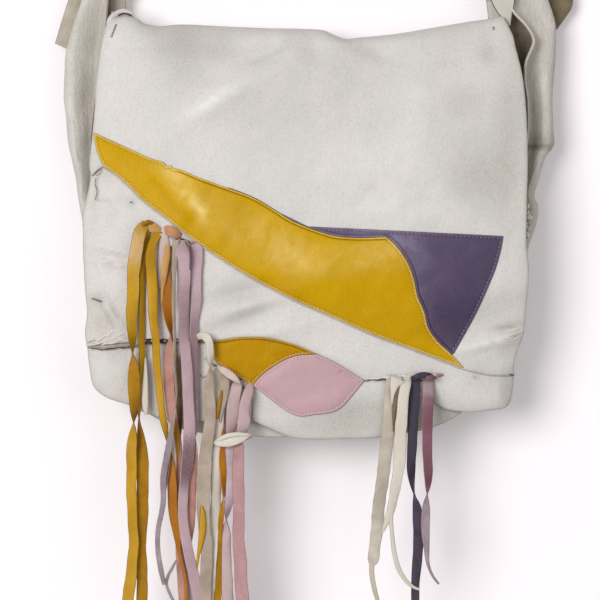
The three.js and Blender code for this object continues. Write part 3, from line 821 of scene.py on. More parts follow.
def band(
    skin: Skin,
    path: Array,
    across: Array,
    width: Array,
    thick: float,
    cup: Array | float = 0.0,
    columns: int = 7,
    finish: tuple[int, int, int] = (0, 1, 2),
    wear_and_shading: Array | float = 0.0,
) -> None:
    """Sweeps a flat strip of leather along a path.

    Args:
        skin: Takes the faces.
        path: Middle of the strip.
        across: Which way the strip is wide at each point.
        width: Width at each point.
        thick: Thickness.
        cup: How far the edges curl back at each point.
        columns: Points across each face.
        finish: Finish numbers of face, back and edges.
        wear_and_shading: How dirty and shaded, or burnished and lit where negative, the strip is painted at each
            point.
    """
    tangent = unit(np.gradient(path, axis=0))
    wide = unit(across - (across * tangent).sum(axis=1, keepdims=True) * tangent)
    normal = np.cross(tangent, wide)
    c = np.linspace(-1, 1, columns)
    half = np.asarray(width, float)[:, None] / 2
    curl = (np.broadcast_to(np.asarray(cup, float), (len(path),))[:, None]) * (0.4 - c**2)
    skinny = thick / 2 * (1 - 0.25 * c**6)
    mid = path[:, None] + (half * c)[:, :, None] * wide[:, None] + curl[:, :, None] * normal[:, None]
    face = mid + skinny[None, :, None] * normal[:, None]
    flesh = mid - skinny[None, :, None] * normal[:, None]
    lip = 0.28 * thick
    right = mid[:, -1:] + lip * wide[:, None]
    left = mid[:, :1] - lip * wide[:, None]
    rings = np.concatenate([face, right, flesh[:, ::-1], left], axis=1)
    size = rings.shape[1]
    side, flesh_side, edge = finish
    ring = [side] * (columns - 1) + [edge] * 2 + [flesh_side] * (columns - 1) + [edge] * 2
    finishes = ring * (len(path) - 1) + [edge] * 2
    soiled_and_shaded = np.repeat(np.broadcast_to(np.asarray(wear_and_shading, float), (len(path),)), size)
    skin.add(rings.reshape(-1, 3), tube(len(path), size), finishes, soiled_and_shaded)


def roll(skin: Skin, path: Array, radius: Array | float, finish: int = 0, sides: int = 8) -> None:
    """Sweeps a round section along a path, for threads, welts and rolled edges.

    Args:
        skin: Takes the faces.
        path: Middle of the roll.
        radius: Radius at each point.
        finish: Finish number of the roll.
        sides: Points round each section.
    """
    along = unit(np.gradient(path, axis=0))
    side = unit(np.cross(along, np.array([0.13, 1.0, 0.07])))
    up = np.cross(side, along)
    turn = np.arange(sides) * 2 * math.pi / sides
    size = np.broadcast_to(np.asarray(radius, float), (len(path),))[:, None, None]
    ring = np.cos(turn)[None, :, None] * side[:, None] + np.sin(turn)[None, :, None] * up[:, None]
    skin.add((path[:, None] + size * ring).reshape(-1, 3), tube(len(path), sides, True), finish)


def shell(skin: Skin, grid: Array, thick: float, wear_and_shading: Array | float = 0.0) -> None:
    """Thickens a grid of points into a closed sheet.

    Args:
        skin: Takes the faces: 0 outside, 1 inside, 2 on the edges.
        grid: Points in rows and columns; rows to columns turn towards the outside.
        thick: Thickness.
        wear_and_shading: How dirty and shaded the outside is painted.
    """
    rows, columns = grid.shape[:2]
    normal = unit(np.cross(np.gradient(grid, axis=0), np.gradient(grid, axis=1)))
    outer = grid + normal * thick / 2
    inner = grid - normal * thick / 2
    count = rows * columns
    faces, finish = [], []
    for i in range(rows - 1):
        for j in range(columns - 1):
            a = i * columns + j
            quad = (a, a + columns, a + columns + 1, a + 1)
            faces += [quad, tuple(v + count for v in reversed(quad))]
            finish += [0, 1]
    ring = list(range(columns))
    ring += [i * columns + columns - 1 for i in range(1, rows)]
    ring += [(rows - 1) * columns + j for j in range(columns - 2, -1, -1)]
    ring += [i * columns for i in range(rows - 2, 0, -1)]
    for a, b in zip(ring, ring[1:] + ring[:1]):
        faces.append((a, b, b + count, a + count))
        finish.append(2)
    wear_light_and_shade = np.broadcast_to(np.asarray(wear_and_shading, float), (rows, columns)).ravel()
    skin.add(np.vstack([outer.reshape(-1, 3), inner.reshape(-1, 3)]), faces, finish, np.concatenate([wear_light_and_shade, wear_light_and_shade]))


@dataclass(frozen=True)
class Crease:
    """A soft ridge, or a dent where its height is negative, in the hanging leather."""

    x: float
    z: float
    long: float
    wide: float
    turn: float
    high: float

    def lift(self, x: Array, z: Array) -> Array:
        """Finds how far the leather stands out.

        Args:
            x: Places across.
            z: Places down.

        Returns:
            The height at each place.
        """
        way = math.radians(self.turn)
        along = (x - self.x) * math.cos(way) + (z - self.z) * math.sin(way)
        off = (z - self.z) * math.cos(way) - (x - self.x) * math.sin(way)
        return self.high * np.exp(-((along / self.long) ** 2) - (off / self.wide) ** 2)


def dents(*rows: Sequence[float]) -> tuple[Crease, ...]:
    """Soft ridges and dents from rows of their numbers."""
    return tuple(Crease(*row) for row in rows)


# Soft marks painted on the cream leather, each across, down, length, width, turn and strength: positive ones are
# painted shade in dents, folds and under the lobes, with a few dark scuffs, and negative ones are painted highlights
# on ridges.
CREAM_SHADING_MARKS = dents(
    (-104, -16, 26, 13, -8, 0.25), (-68, -19, 17, 12, 10, 0.24), (-91, -38, 14, 20, 0, 0.15),
    (-54, -71, 30, 7, 31, 0.1), (-64, -60, 28, 7, 30, -0.49), (-34, -30.5, 14, 2, 18, 0.17), (3, -22, 8, 11, 0, 0.17),
    (48, -22, 19, 7, -24, 0.17), (128, -15, 26, 10, 0, 0.14), (148, -26, 8, 10, 0, 0.28), (110, -34, 20, 8, 0, 0.14),
    (-16, -66, 70, 36, 0, 0.1), (-116, -226, 28, 8, 90, 0.2), (-80, -66, 24, 5, 30, -0.28),
    (134, -64, 22, 17, 0, 0.21), (140, -126, 28, 30, 0, 0.34), (165, -84, 84, 14, 88, 0.27),
    (70, -152, 48, 13, 0, -0.3), (58, -116, 42, 24, 0, -0.28), (92, -60, 16, 32, 0, -0.21),
    (-161, -243, 11, 10, 0, 0.22), (-158.4, -236, 12, 1.1, -62, 0.4), (-168, -138, 20, 2, 84, 0.26),
    (-160, -144, 14, 1, 8, 0.22), (-154, -149, 9, 1, -58, 0.2), (-52, -218, 22, 5, 12, 0.2),
    (-50, -240, 28, 4.5, 18, 0.2), (150, -232, 28, 12, 14, 0.24), (162, -245.6, 13, 2.4, 6, 0.42),
    (146, -258, 28, 5, 15, -0.35), (36, -318, 52, 18, 0, 0.42), (162, -297, 9, 18, 0, 0.24),
    (136, -285.4, 3, 0.8, 10, 0.5),
)
# Marks painted on the colour blocks, in the same columns: painted glints with painted shade between them on the yellow
# blade, painted light at the purple sail's upper left and painted shade at its lower right, and small dark marks with
# a paler zone on the pink petal.
PATCH_SHADING_MARKS: dict[str, tuple[Crease, ...]] = {
    "patch_blade": dents(
        (-105, -124, 16, 5, -24, -0.5), (-86, -150, 12, 5, -62, -0.75), (-100, -137, 9, 4, -30, -0.35),
        (-45, -165, 60, 16, -25, -0.26), (-16, -191, 32, 11, -14, -0.3), (58, -187, 34, 12, 6, -0.34),
        (-114, -138, 15, 4, -50, 0.2), (-96, -155, 14, 5, -20, 0.18), (-57, -155, 16, 9, -25, 0.16),
        (-18, -216, 42, 6, -27, 0.18), (62, -234, 48, 13, -24, 0.12),
    ),
    "patch_sail": dents(
        (50, -173, 40, 7, -3, -0.75), (84, -186, 18, 12, -40, -0.7), (116, -240, 34, 32, 0, 0.75),
        (140, -194, 22, 22, 0, 0.4),
    ),
    "patch_petal": dents(
        (27, -281, 2.4, 1, 20, 0.7), (33, -285, 2, 1, -30, 0.5), (0, -300, 26, 9, 8, -0.15),
    ),
}


@dataclass
class FlapForm:
    """The surface that the flap hangs in: over the top fold and down the swollen front."""

    half_body: float = 165.0
    body_height: float = 332.0
    mouth: float = 12.0
    base_gain: float = 18.0
    belly: float = 15.0
    air: float = 5.6
    fold_back: float = 6.3
    fold_front: float = -17.6
    fold_radius: float = 11.95
    fold_foot: float = -19.25
    fold_ease: float = 34.0
    fold_arc: float = 46.0
    drop: float = 335.0
    face: float = 7.3
    waves: Rows = ((0.42, 62, 4), (0.16, 21, 9))
    fold_gain: float = 1.4
    fold_limit: float = 3.2
    curl_left: float = 2.6
    curl_right: float = 1.0
    curl_lower_right: float = 3.6
    curl_reach: float = 7.5
    fold_line: Knots = (
        (-164, 2), (-158, 5.5), (-150.3, 6.1), (-146.7, 7.2), (-141, 6.6), (-135.6, 4.2), (-132, 1.2), (-120, -1.6),
        (-102, -0.2), (-70, -1.6), (-29.6, -3.6), (4.5, -4.1), (15, -5.2), (31, -11.8), (45.4, -10.8), (76, -7.8),
        (108.6, -2.1), (137, 2.6), (147.2, 4), (157.4, 6.1), (166, 7),
    )
    creases: tuple[Crease, ...] = dents(
        (-104, -16, 26, 12, -8, -2.4), (-68, -19, 16, 11, 10, -2.0), (-91, -37, 14, 20, 0, -1.8),
        (-128, -34, 18, 30, 0, 1.6), (-64, -59, 30, 9, 30, 2.6), (-56, -70, 30, 7, 31, -1.2),
        (-26, -23, 17, 3.6, 24, 1.6), (-34, -30, 14, 3, 18, -1.3), (-54, -38, 24, 16, 20, 1.8),
        (3, -22, 8, 10, 0, -1.6), (47, -21, 18, 6, -24, -2.2), (84, -20, 18, 10, 8, 1.2), (147, -24, 7, 9, 0, -1.2),
        (128, -16, 22, 9, 0, -1.2), (134, -64, 18, 14, 0, -1.4), (92, -62, 16, 34, 0, 1.6),
        (140, -126, 24, 26, 0, -1.8), (58, -116, 40, 22, 0, 1.5), (10, -110, 60, 30, -20, 1.0),
        (-154, -190, 20, 2.6, -12, -1.4), (-156, -195, 18, 2.4, -10, 1.2), (-150, -200.5, 22, 2.6, -14, -1.3),
        (-152, -184, 20, 4, -14, 1.3), (-161, -243, 10, 9, 0, -2.6), (-154.6, -234, 14, 3, -62, 2.2),
        (-64, -204, 20, 8, 0, 1.2), (-52, -218, 22, 5, 12, -2.4), (-46, -229, 22, 5, 16, 2.2),
        (-50, -240, 28, 4.5, 18, -2.4), (-26, -250, 30, 5, 14, 1.4), (150, -232, 26, 10, 14, -2.4),
        (150, -256.5, 30, 5.5, 15, 3.4), (155, -249.5, 26, 3, 16, -2.0), (164, -253, 8, 1.6, 24, 1.3),
        (163, -258, 9, 1.6, 12, 1.1), (160, -271, 14, 5, 10, -1.4), (170, -297, 13, 22, 0, -3.0),
        (151, -297, 12, 1.2, 88, -0.4), (154.4, -297, 12, 1.2, 88, 0.4), (-150, -284, 18, 12, 0, 1.6),
        (-96, -150, 8, 20, -28, 1.3), (-80, -146, 5, 22, -34, -1.0), (-62, -160, 8, 22, -30, 1.2),
        (-118, -132, 7, 16, -26, -0.9), (8, -196, 14, 30, -40, 1.3), (50, -214, 12, 34, -20, -0.8),
        (96, -186, 30, 9, -50, 1.0), (40, -274, 40, 10, -14, 1.2), (0, -322, 50, 7, 4, 1.3),
        (40, -316, 40, 6, 8, -1.0),
    )
    rim: Array = field(init=False)
    tops: Array = field(init=False)

    def __post_init__(self) -> None:
        """Samples the top fold's line."""
        self.tops = curve(self.fold_line, 2.0)
        self.rim = np.zeros((0, 2))

    def front_face(self, x: Array, z: Array) -> Array:
        """Finds the depth of the front panel's inner face.

        Args:
            x: Places across.
            z: Places down.

        Returns:
            The depth at each place.
        """
        down = np.clip(-z / self.body_height, 0, 1)
        across = np.maximum(0, 1 - (x / self.half_body) ** 2)
        swell = self.belly * np.sin(math.pi * down) * (0.4 + 0.6 * across)
        return -self.mouth - self.base_gain * down - swell

    def relief(self, x: Array, z: Array) -> Array:
        """Finds how far the leather's folds and waves stand out.

        Args:
            x: Places across.
            z: Places down.

        Returns:
            The height at each place.
        """
        high = sum(tall * ripple(x, z, long, seed) for tall, long, seed in self.waves)
        for crease in self.creases:
            high = high + self.fold_gain * crease.lift(x, z)
        return np.maximum(high, self.fold_limit * np.tanh(high / self.fold_limit)) * ease(-z, 4, 20)

    def curl(self, points: Array) -> Array:
        """Finds how far the flap's free edges turn in.

        Args:
            points: Flat places.

        Returns:
            How far each is drawn back.
        """
        if not len(self.rim):
            return np.zeros(len(points))
        right = self.curl_right + self.curl_lower_right * ease(-points[:, 1], 160, 240)
        near = np.exp(-((distance(points, self.rim, closed=False) / self.curl_reach) ** 1.4))
        return np.where(points[:, 0] > 0, right, self.curl_left) * near

    def place(self, points: Array, lift: Array | float) -> Array:
        """Puts flat points on the flap.

        Args:
            points: Places across and down; above the fold's foot they run on over the fold.
            lift: How far each stands in front of the flap's inner face.

        Returns:
            The places in space.
        """
        x, w = points.T
        z = np.minimum(w, self.fold_foot)
        lead = self.fold_front - self.front_face(x, np.full(len(x), self.fold_foot)) + self.air
        y = self.front_face(x, z) - self.air + lead * np.maximum(0, 1 - (self.fold_foot - z) / self.fold_ease)
        y = y - lift - self.relief(x, z) + self.curl(points)
        angle = np.clip((w - self.fold_foot) / self.fold_arc, 0, 1) * math.pi
        high = np.interp(x, self.tops[:, 0], self.tops[:, 1]) - self.fold_foot - (self.face - lift)
        middle = (self.fold_back + self.fold_front) / 2
        over = w > self.fold_foot
        round_y = middle - (self.fold_radius + lift) * np.cos(angle)
        y = np.where(over, round_y + (y - (self.fold_front - lift)) * np.cos(angle / 2), y)
        z = np.where(over, self.fold_foot + high * np.sin(angle), z)
        return np.stack([x, y, z], axis=1)

    def before(self, x: Array, z: Array, lift: Array | float) -> Array:
        """Puts points in front of the flap; below it they hang straight down."""
        held, slack = np.maximum(z, -self.drop), ease(-z, 330, 300)
        return np.stack([x, self.front_face(x, held) - self.air - lift - self.relief(x, held) * slack, z], axis=1)


@dataclass
class Flap:
    """The flap: four pieces of cream leather lapped over each other, with four sewn colour blocks."""

    form: FlapForm
    leather: float = 1.6
    lap: float = 8.0
    show: float = 1.3
    right_edge: Knots = (
        (157, 26.75), (158.6, 12), (159.9, 3.75), (161, -2.85), (161.9, -5.5), (164.9, -11.2), (167.3, -15),
        (168.7, -19.5), (171, -28.8), (173.6, -40), (176.4, -62), (177.7, -88), (178, -116.8), (177, -148.8),
        (176.8, -180), (178.6, -201.6), (177.2, -223.2), (174.4, -249.6), (169.2, -265.6), (166.8, -276),
        (166.8, -284.4),
    )
    left_edge: Knots = (
        (-171.6, -124.5), (-173, -116.8), (-170.9, -90.4), (-169.4, -72.8), (-167.6, -43.2), (-164.6, -20),
        (-160.5, -6), (-158, 5), (-156, 26.75),
    )
    blade_foot: Knots = (
        (125.7, -278), (94, -266), (72, -258), (51, -250), (24, -238), (-12, -222), (-44, -205), (-80, -182),
        (-96, -170.4), (-111, -158.2), (-130, -143.6), (-141, -132.4), (-152, -122.8), (-162, -116),
    )
    blade_top: Knots = (
        (-170, -90), (-147, -100.5), (-124, -111), (-113, -114.8), (-111.4, -117.4), (-108, -116.8), (-106.2, -118.6),
        (-100, -120.2), (-84, -127), (-62, -135), (-41, -143), (-24, -153), (-12, -160.5), (6, -168), (22, -173),
        (38, -174.6), (52, -174.6), (64, -174),
    )
    blade_side: Knots = (
        (64, -174), (71, -180), (81, -194), (86, -207), (89, -221), (94.5, -234), (97.5, -246), (105, -257),
        (116, -267.4), (125.7, -278),
    )
    blade_tip: Knots = ((-162, -116), (-166.6, -106), (-170, -90))
    sail_top: Knots = ((2, -165.6), (66, -168.6), (158, -173))
    sail_side: Knots = ((158, -173), (156, -184), (152, -198), (146, -213), (136, -235), (126.5, -252), (118.4, -266))
    right_seam: Knots = ((166.8, -284.6), (156, -284.6), (146, -284), (136, -282), (125.7, -278))
    left_seam: Knots = ((-175, -260.2), (-158, -259), (-142, -258), (-106, -257), (-76, -256.6))
    leaf_top: Knots = ((-76, -256.6), (-64, -255.4), (-56, -254), (-38, -253.4), (-23, -255.6), (-7, -260),
        (9, -266.8))
    petal_top: Knots = ((9, -266.8), (23, -273.4), (35, -280.6), (47, -288))
    lip: Knots = ((47, -288), (67, -285.4), (90, -283.4), (109.7, -283.2))
    leaf_foot: Knots = ((9, -266.8), (-3, -267.4), (-9, -268.4), (-18, -272), (-27, -277.4), (-36, -284.4),
        (-42.5, -292))
    leaf_side: Knots = ((-42.5, -292), (-50, -287.4), (-66, -277), (-73, -270.6), (-76, -256.6))
    petal_foot: Knots = ((47, -288), (38, -299), (28, -310), (21, -313.4), (7, -315.4), (-5, -316.6), (-14, -313),
        (-24, -306), (-34, -298), (-42.5, -292))
    right_lobe: Knots = (
        (166.8, -284.4), (166.2, -293), (164.6, -303), (161, -309.4), (150.8, -311.6), (132.4, -313.4), (115.6, -312),
        (110, -310), (103.5, -306.4),
    )
    lower_left: Knots = (
        (-175, -260.2), (-176.2, -250.4), (-174.6, -233.6), (-176.2, -216.8), (-177.2, -200), (-178, -183.2),
        (-178, -172), (-178.4, -156), (-175.6, -143), (-173, -131), (-172, -117),
    )
    centre_foot: Knots = (
        (90, -305), (88, -326), (61.2, -333.3), (27.6, -334.9), (5.2, -335.2), (-13.2, -333.2), (-33.2, -324.6),
        (-42.5, -320.4),
    )
    left_foot: Knots = (
        (-33.6, -321.4), (-84.4, -321), (-110.8, -319.2), (-125.2, -315.2), (-142.8, -307.4), (-151.6, -304.8),
        (-158.4, -302.4), (-164.8, -298.4), (-170, -292.4), (-172, -284), (-174, -268.8), (-175, -252),
    )
    slit_lines: tuple[Rows, ...] = (
        ((-131.6, -163.4), (-82.4, -181.4)),
        ((-80, -270.4), (-45, -298)),
        ((63.7, -288.8), (100.6, -288)),
    )
    clouds: Knots = (
        (-100, -14, 16, 0.16), (-166, -224, 7, 0.4), (-160, -120, 9, 0.2), (-150, -258, 22, 0.18),
        (160, -250, 12, 0.18), (-118, -178, 9, 0.25), (-62, -232, 20, 0.1), (140, -282, 12, 0.2), (36, -26, 30, 0.1),
        (-140, -146, 4, 0.3),
    )
    pieces: list[Piece] = field(default_factory=list)

    def lapped(self, run: Knots) -> list[tuple[float, float]]:
        """A seam's line moved up under the piece that laps over it."""
        return [(x, z + self.lap) for x, z in run]

    def slit(self, which: int) -> Array:
        """Shapes the narrow open lens of one fringe slit.

        Args:
            which: Number of the slit.

        Returns:
            Its outline.
        """
        (ax, az), (bx, bz) = self.slit_lines[which]
        reach = np.array([bx - ax, bz - az])
        side = np.array([-reach[1], reach[0]]) / np.hypot(*reach)
        share = np.linspace(0, 1, 14)
        line = np.array([ax, az]) + share[:, None] * reach
        gape = 0.9 * np.sin(math.pi * share)[:, None] + 0.15
        return np.vstack([line + gape * side, (line - gape * side)[::-1]])

    def build(self) -> None:
        """Makes all the flap's pieces."""
        right = [self.right_edge[5:], self.right_lobe]
        left = [self.left_foot[4:], self.lower_left[1:], self.left_edge[:6]]
        rims = [np.vstack([curve(run, 3) for run in runs]) for runs in (right, left)]
        self.form.rim = np.vstack([rims[0], [[400, -900], [-400, -900]], rims[1]])
        self.panel(
            "flap_left_lobe", Layer.LEFT_LOBE, 1, self.lapped(self.left_seam), [(-76, -248.6), (-33.6, -258)],
            [(-33.6, -258), (-33.6, -321.4)], self.left_foot,
        )
        self.panel(
            "flap_centre_lobe", Layer.CENTRE_LOBE, 2, self.lapped(self.leaf_top), self.lapped(self.petal_top),
            self.lapped(self.lip), self.centre_foot, [(-42.5, -320.4), (-42.5, -292)], self.leaf_side,
        )
        self.panel(
            "flap_lower", Layer.LOWER_PANEL, 0, self.lapped(self.blade_foot)[::-1], self.lapped(self.right_seam)[::-1],
            [(166.8, -276.6), (166.8, -284.4)], self.right_lobe, [(103.5, -306.4), (101.4, -297), (101.6, -288)],
            [(101.6, -288), (109.7, -283.2)], self.lip[::-1], self.petal_top[::-1], self.leaf_top[::-1],
            self.left_seam[::-1], self.lower_left,
        )
        shown = [(x - 0.5 * self.show, z - 0.9 * self.show) for x, z in self.blade_foot]
        self.panel(
            "flap_upper", Layer.UPPER_PANEL, None, self.right_edge, self.right_seam[:-1],
            [self.right_seam[-2], *shown],
            [shown[-1], self.left_edge[0]], self.left_edge, [(-156, 26.75), (157, 26.75)],
        )
        self.patches()

    def marks(self, points: Array, marks: Sequence[Crease]) -> Array:
        """Sums soft marks at flat places: painted shade and dirt where they are positive, painted highlights and
        burnished leather where negative.
        """
        x, z = points.T
        return sum((mark.lift(x, z) for mark in marks), np.zeros(len(points)))

    def soiling_and_shading(self, points: Array, off: Array) -> Array:
        """Finds how dirty the cream leather is painted along its edges, at scars and in a few clouds, with painted
        shade in its dents and folds and painted highlights on its ridges.

        Args:
            points: Flat places.
            off: Their distance to the edge.

        Returns:
            The dirt and painted shade at each, or painted highlight where negative.
        """
        x, z = points.T
        soil_and_shade = 0.34 * np.exp(-off / 1.6)
        for cx, cz, wide, deep in self.clouds:
            soil_and_shade = soil_and_shade + deep * np.exp(-((x - cx) ** 2 + (z - cz) ** 2) / wide**2)
        return np.clip(soil_and_shade + self.marks(points, CREAM_SHADING_MARKS), -1, 0.75)

    def panel(self, name: str, layer: Layer, slit: int | None, *runs: Knots) -> None:
        """Makes one cream piece of the flap and notes its flat area.

        Args:
            name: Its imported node.
            layer: The layer it lies on.
            slit: Number of the slit in it, if it has one.
            runs: Its outline.
        """
        cut = Cut(outline(*runs), () if slit is None else (self.slit(slit),))
        skin = Skin()
        cut.sheet(skin, self.form.place, layer.value, self.leather, None, self.soiling_and_shading)
        piece = skin.make(f"{name}_leather", (CREAM, CREAM_SUEDE, CREAM_EDGE_AND_SHADE))
        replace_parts(piece, name)
        piece["flat_area"] = cut.area()
        self.pieces.append(piece)

    def patches(self) -> None:
        """Makes the four sewn colour blocks with their stitches."""
        over = [(64, -173.6), *[(x, z + 0.6) for x, z in self.blade_top[9:-1]][::-1], (2, -165.6)]
        beside = [(x + 0.5, z + 0.4) for x, z in self.blade_side[-2::-1]]
        sail = outline(self.sail_top, self.sail_side, [(118.4, -266), (116.6, -267.6)], beside, over, step=1.4)
        blade = outline(self.blade_top, self.blade_side, self.blade_foot, self.blade_tip, step=1.4)
        leaf = outline([(x, z - 0.5) for x, z in self.leaf_top], self.leaf_foot, self.leaf_side, step=1.3)
        under = [(x + 0.3, z - 0.7) for x, z in self.leaf_foot[::-1]]
        petal = outline([(x, z - 0.6) for x, z in self.petal_top], self.petal_foot, under, step=1.3)
        wide, narrow = (2.4, (0.7, 1.5, 2.2, 3.0, 4.2)), (2.2, (0.7, 1.5, 2.2, 3.0))
        short = Needle(2.6, 1.5, 0.24, 1.5)
        self.patch(
            "patch_sail", Cut(sail, (), *wide), Layer.PATCH, 0.9, (PURPLE, DARK_SUEDE, PURPLE_EDGE, MAUVE_THREAD),
            11, Needle(3.3, 2.0, 0.22, 2.0), (self.blade_side, self.blade_top),
        )
        self.patch(
            "patch_blade", Cut(blade, (), *wide), Layer.PATCH, 1.5, (YELLOW, OCHRE_SUEDE, YELLOW_EDGE, PALE_THREAD),
            12, short, (self.blade_top[7:],),
        )
        self.patch(
            "patch_leaf", Cut(leaf, (), *narrow), Layer.LOWER_PANEL, 1.2,
            (LEAF_YELLOW, OCHRE_SUEDE, YELLOW_EDGE, PALE_THREAD), 13, short, (self.leaf_top,),
        )
        self.patch(
            "patch_petal", Cut(petal, (), *narrow), Layer.LOWER_PANEL, 1.5,
            (PINK, MAUVE_SUEDE, PINK_EDGE, WHITE_THREAD), 14, Needle(2.9, 1.8, 0.26, 1.8), (),
        )

    def patch(
        self, name: str, cut: Cut, layer: Layer, thick: float, finishes: tuple[Finish, ...], seed: int,
        needle: Needle, bare: tuple[Knots, ...],
    ) -> None:
        """Makes one colour block: puffed inside its stitches, with the row sunk into it.

        Args:
            name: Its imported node.
            cut: Its flat shape.
            layer: The layer it lies on.
            thick: Its thickness.
            finishes: Grain, flesh, edge and thread.
            seed: Small differences of its face.
            needle: Its row of stitches.
            bare: Edges where the thread is gone and only needle holes are left.
        """
        empty = [curve(run, 1.5) for run in bare]

        def puff(points: Array, off: Array) -> Array:
            """Lift of the face: a groove under the stitches, fuller inside."""
            full = 0.75 * ease(off, needle.inset, 9) + 0.18 * ripple(*points.T, 13, seed) * ease(off, 3, 9)
            return full - 0.5 * np.exp(-(((off - needle.inset) / 0.55) ** 2))

        def wear_and_shading(points: Array, off: Array) -> Array:
            """Paints shade into the stitch groove, darkens bare rows of needle holes, burnishes the cut edge and adds
            the block's painted highlights and shade.

            Args:
                points: Flat places.
                off: Their distance to the edge.

            Returns:
                How dirty and shaded each place is painted, or burnished and lit where negative.
            """
            worn_and_shaded = 0.5 * np.exp(-(((off - needle.inset) / 0.55) ** 2)) - 0.6 * np.exp(-((off / 1.1) ** 2))
            for run in empty:
                worn_and_shaded = worn_and_shaded + 0.45 * np.exp(-(((distance(points, run, closed=False) - needle.inset) / 0.7) ** 2))
            return np.clip(worn_and_shaded + self.marks(points, PATCH_SHADING_MARKS.get(name, ())), -1, 0.9)

        skin = Skin()
        lift = layer.value
        cut.sheet(skin, self.form.place, lift, thick, puff, wear_and_shading)
        path = cut.inset(needle.inset)
        clear = distance(path, cut.edge) > 0.9 * needle.inset
        gone = np.zeros(len(path), bool)
        for run in empty:
            gone |= distance(path, run, closed=False) < 1.6 * needle.inset
        holes = Needle(2.3, 0.8, 0.3, needle.inset)
        for skip, finish, work in ((gone, 3, needle), (~gone, 4, holes)):
            keep = clear & ~skip
            for row in np.split(np.arange(len(path)), np.where(~keep)[0]):
                row = row[keep[row]]
                if len(row) > 4 and (finish == 3 or name != "patch_sail"):
                    line = self.form.place(path[row], lift + thick - 0.42)
                    work.sew(skin, line, FRONT, finish, seed)
        piece = skin.make(f"{name}_leather", (*finishes, OLIVE_THREAD))
        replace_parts(piece, name)
        self.pieces.append(piece)


@dataclass(frozen=True)
class Strip:
    """One fringe strip: its two sides and edge, how far out it hangs, and the layer it is laced through.

    Each place of the run is across, down, turn in degrees and width; the first is the root in the slit.
    Each band of soiling_and_shading is where it is strongest, how far it reaches and how dark it is painted, pale
    where negative.
    """

    name: str
    slot: Slot
    face: Finish
    back: Finish
    edge: Finish
    lane: Lane
    layer: Layer
    run: Knots
    soiling_and_shading: Rows = ()


@dataclass(frozen=True)
class Lace:
    """A short length of strip that lies on the flap between two slits.

    Each place of the run is across, down, lift and width.
    """

    finish: Finish
    edge: Finish
    run: Knots


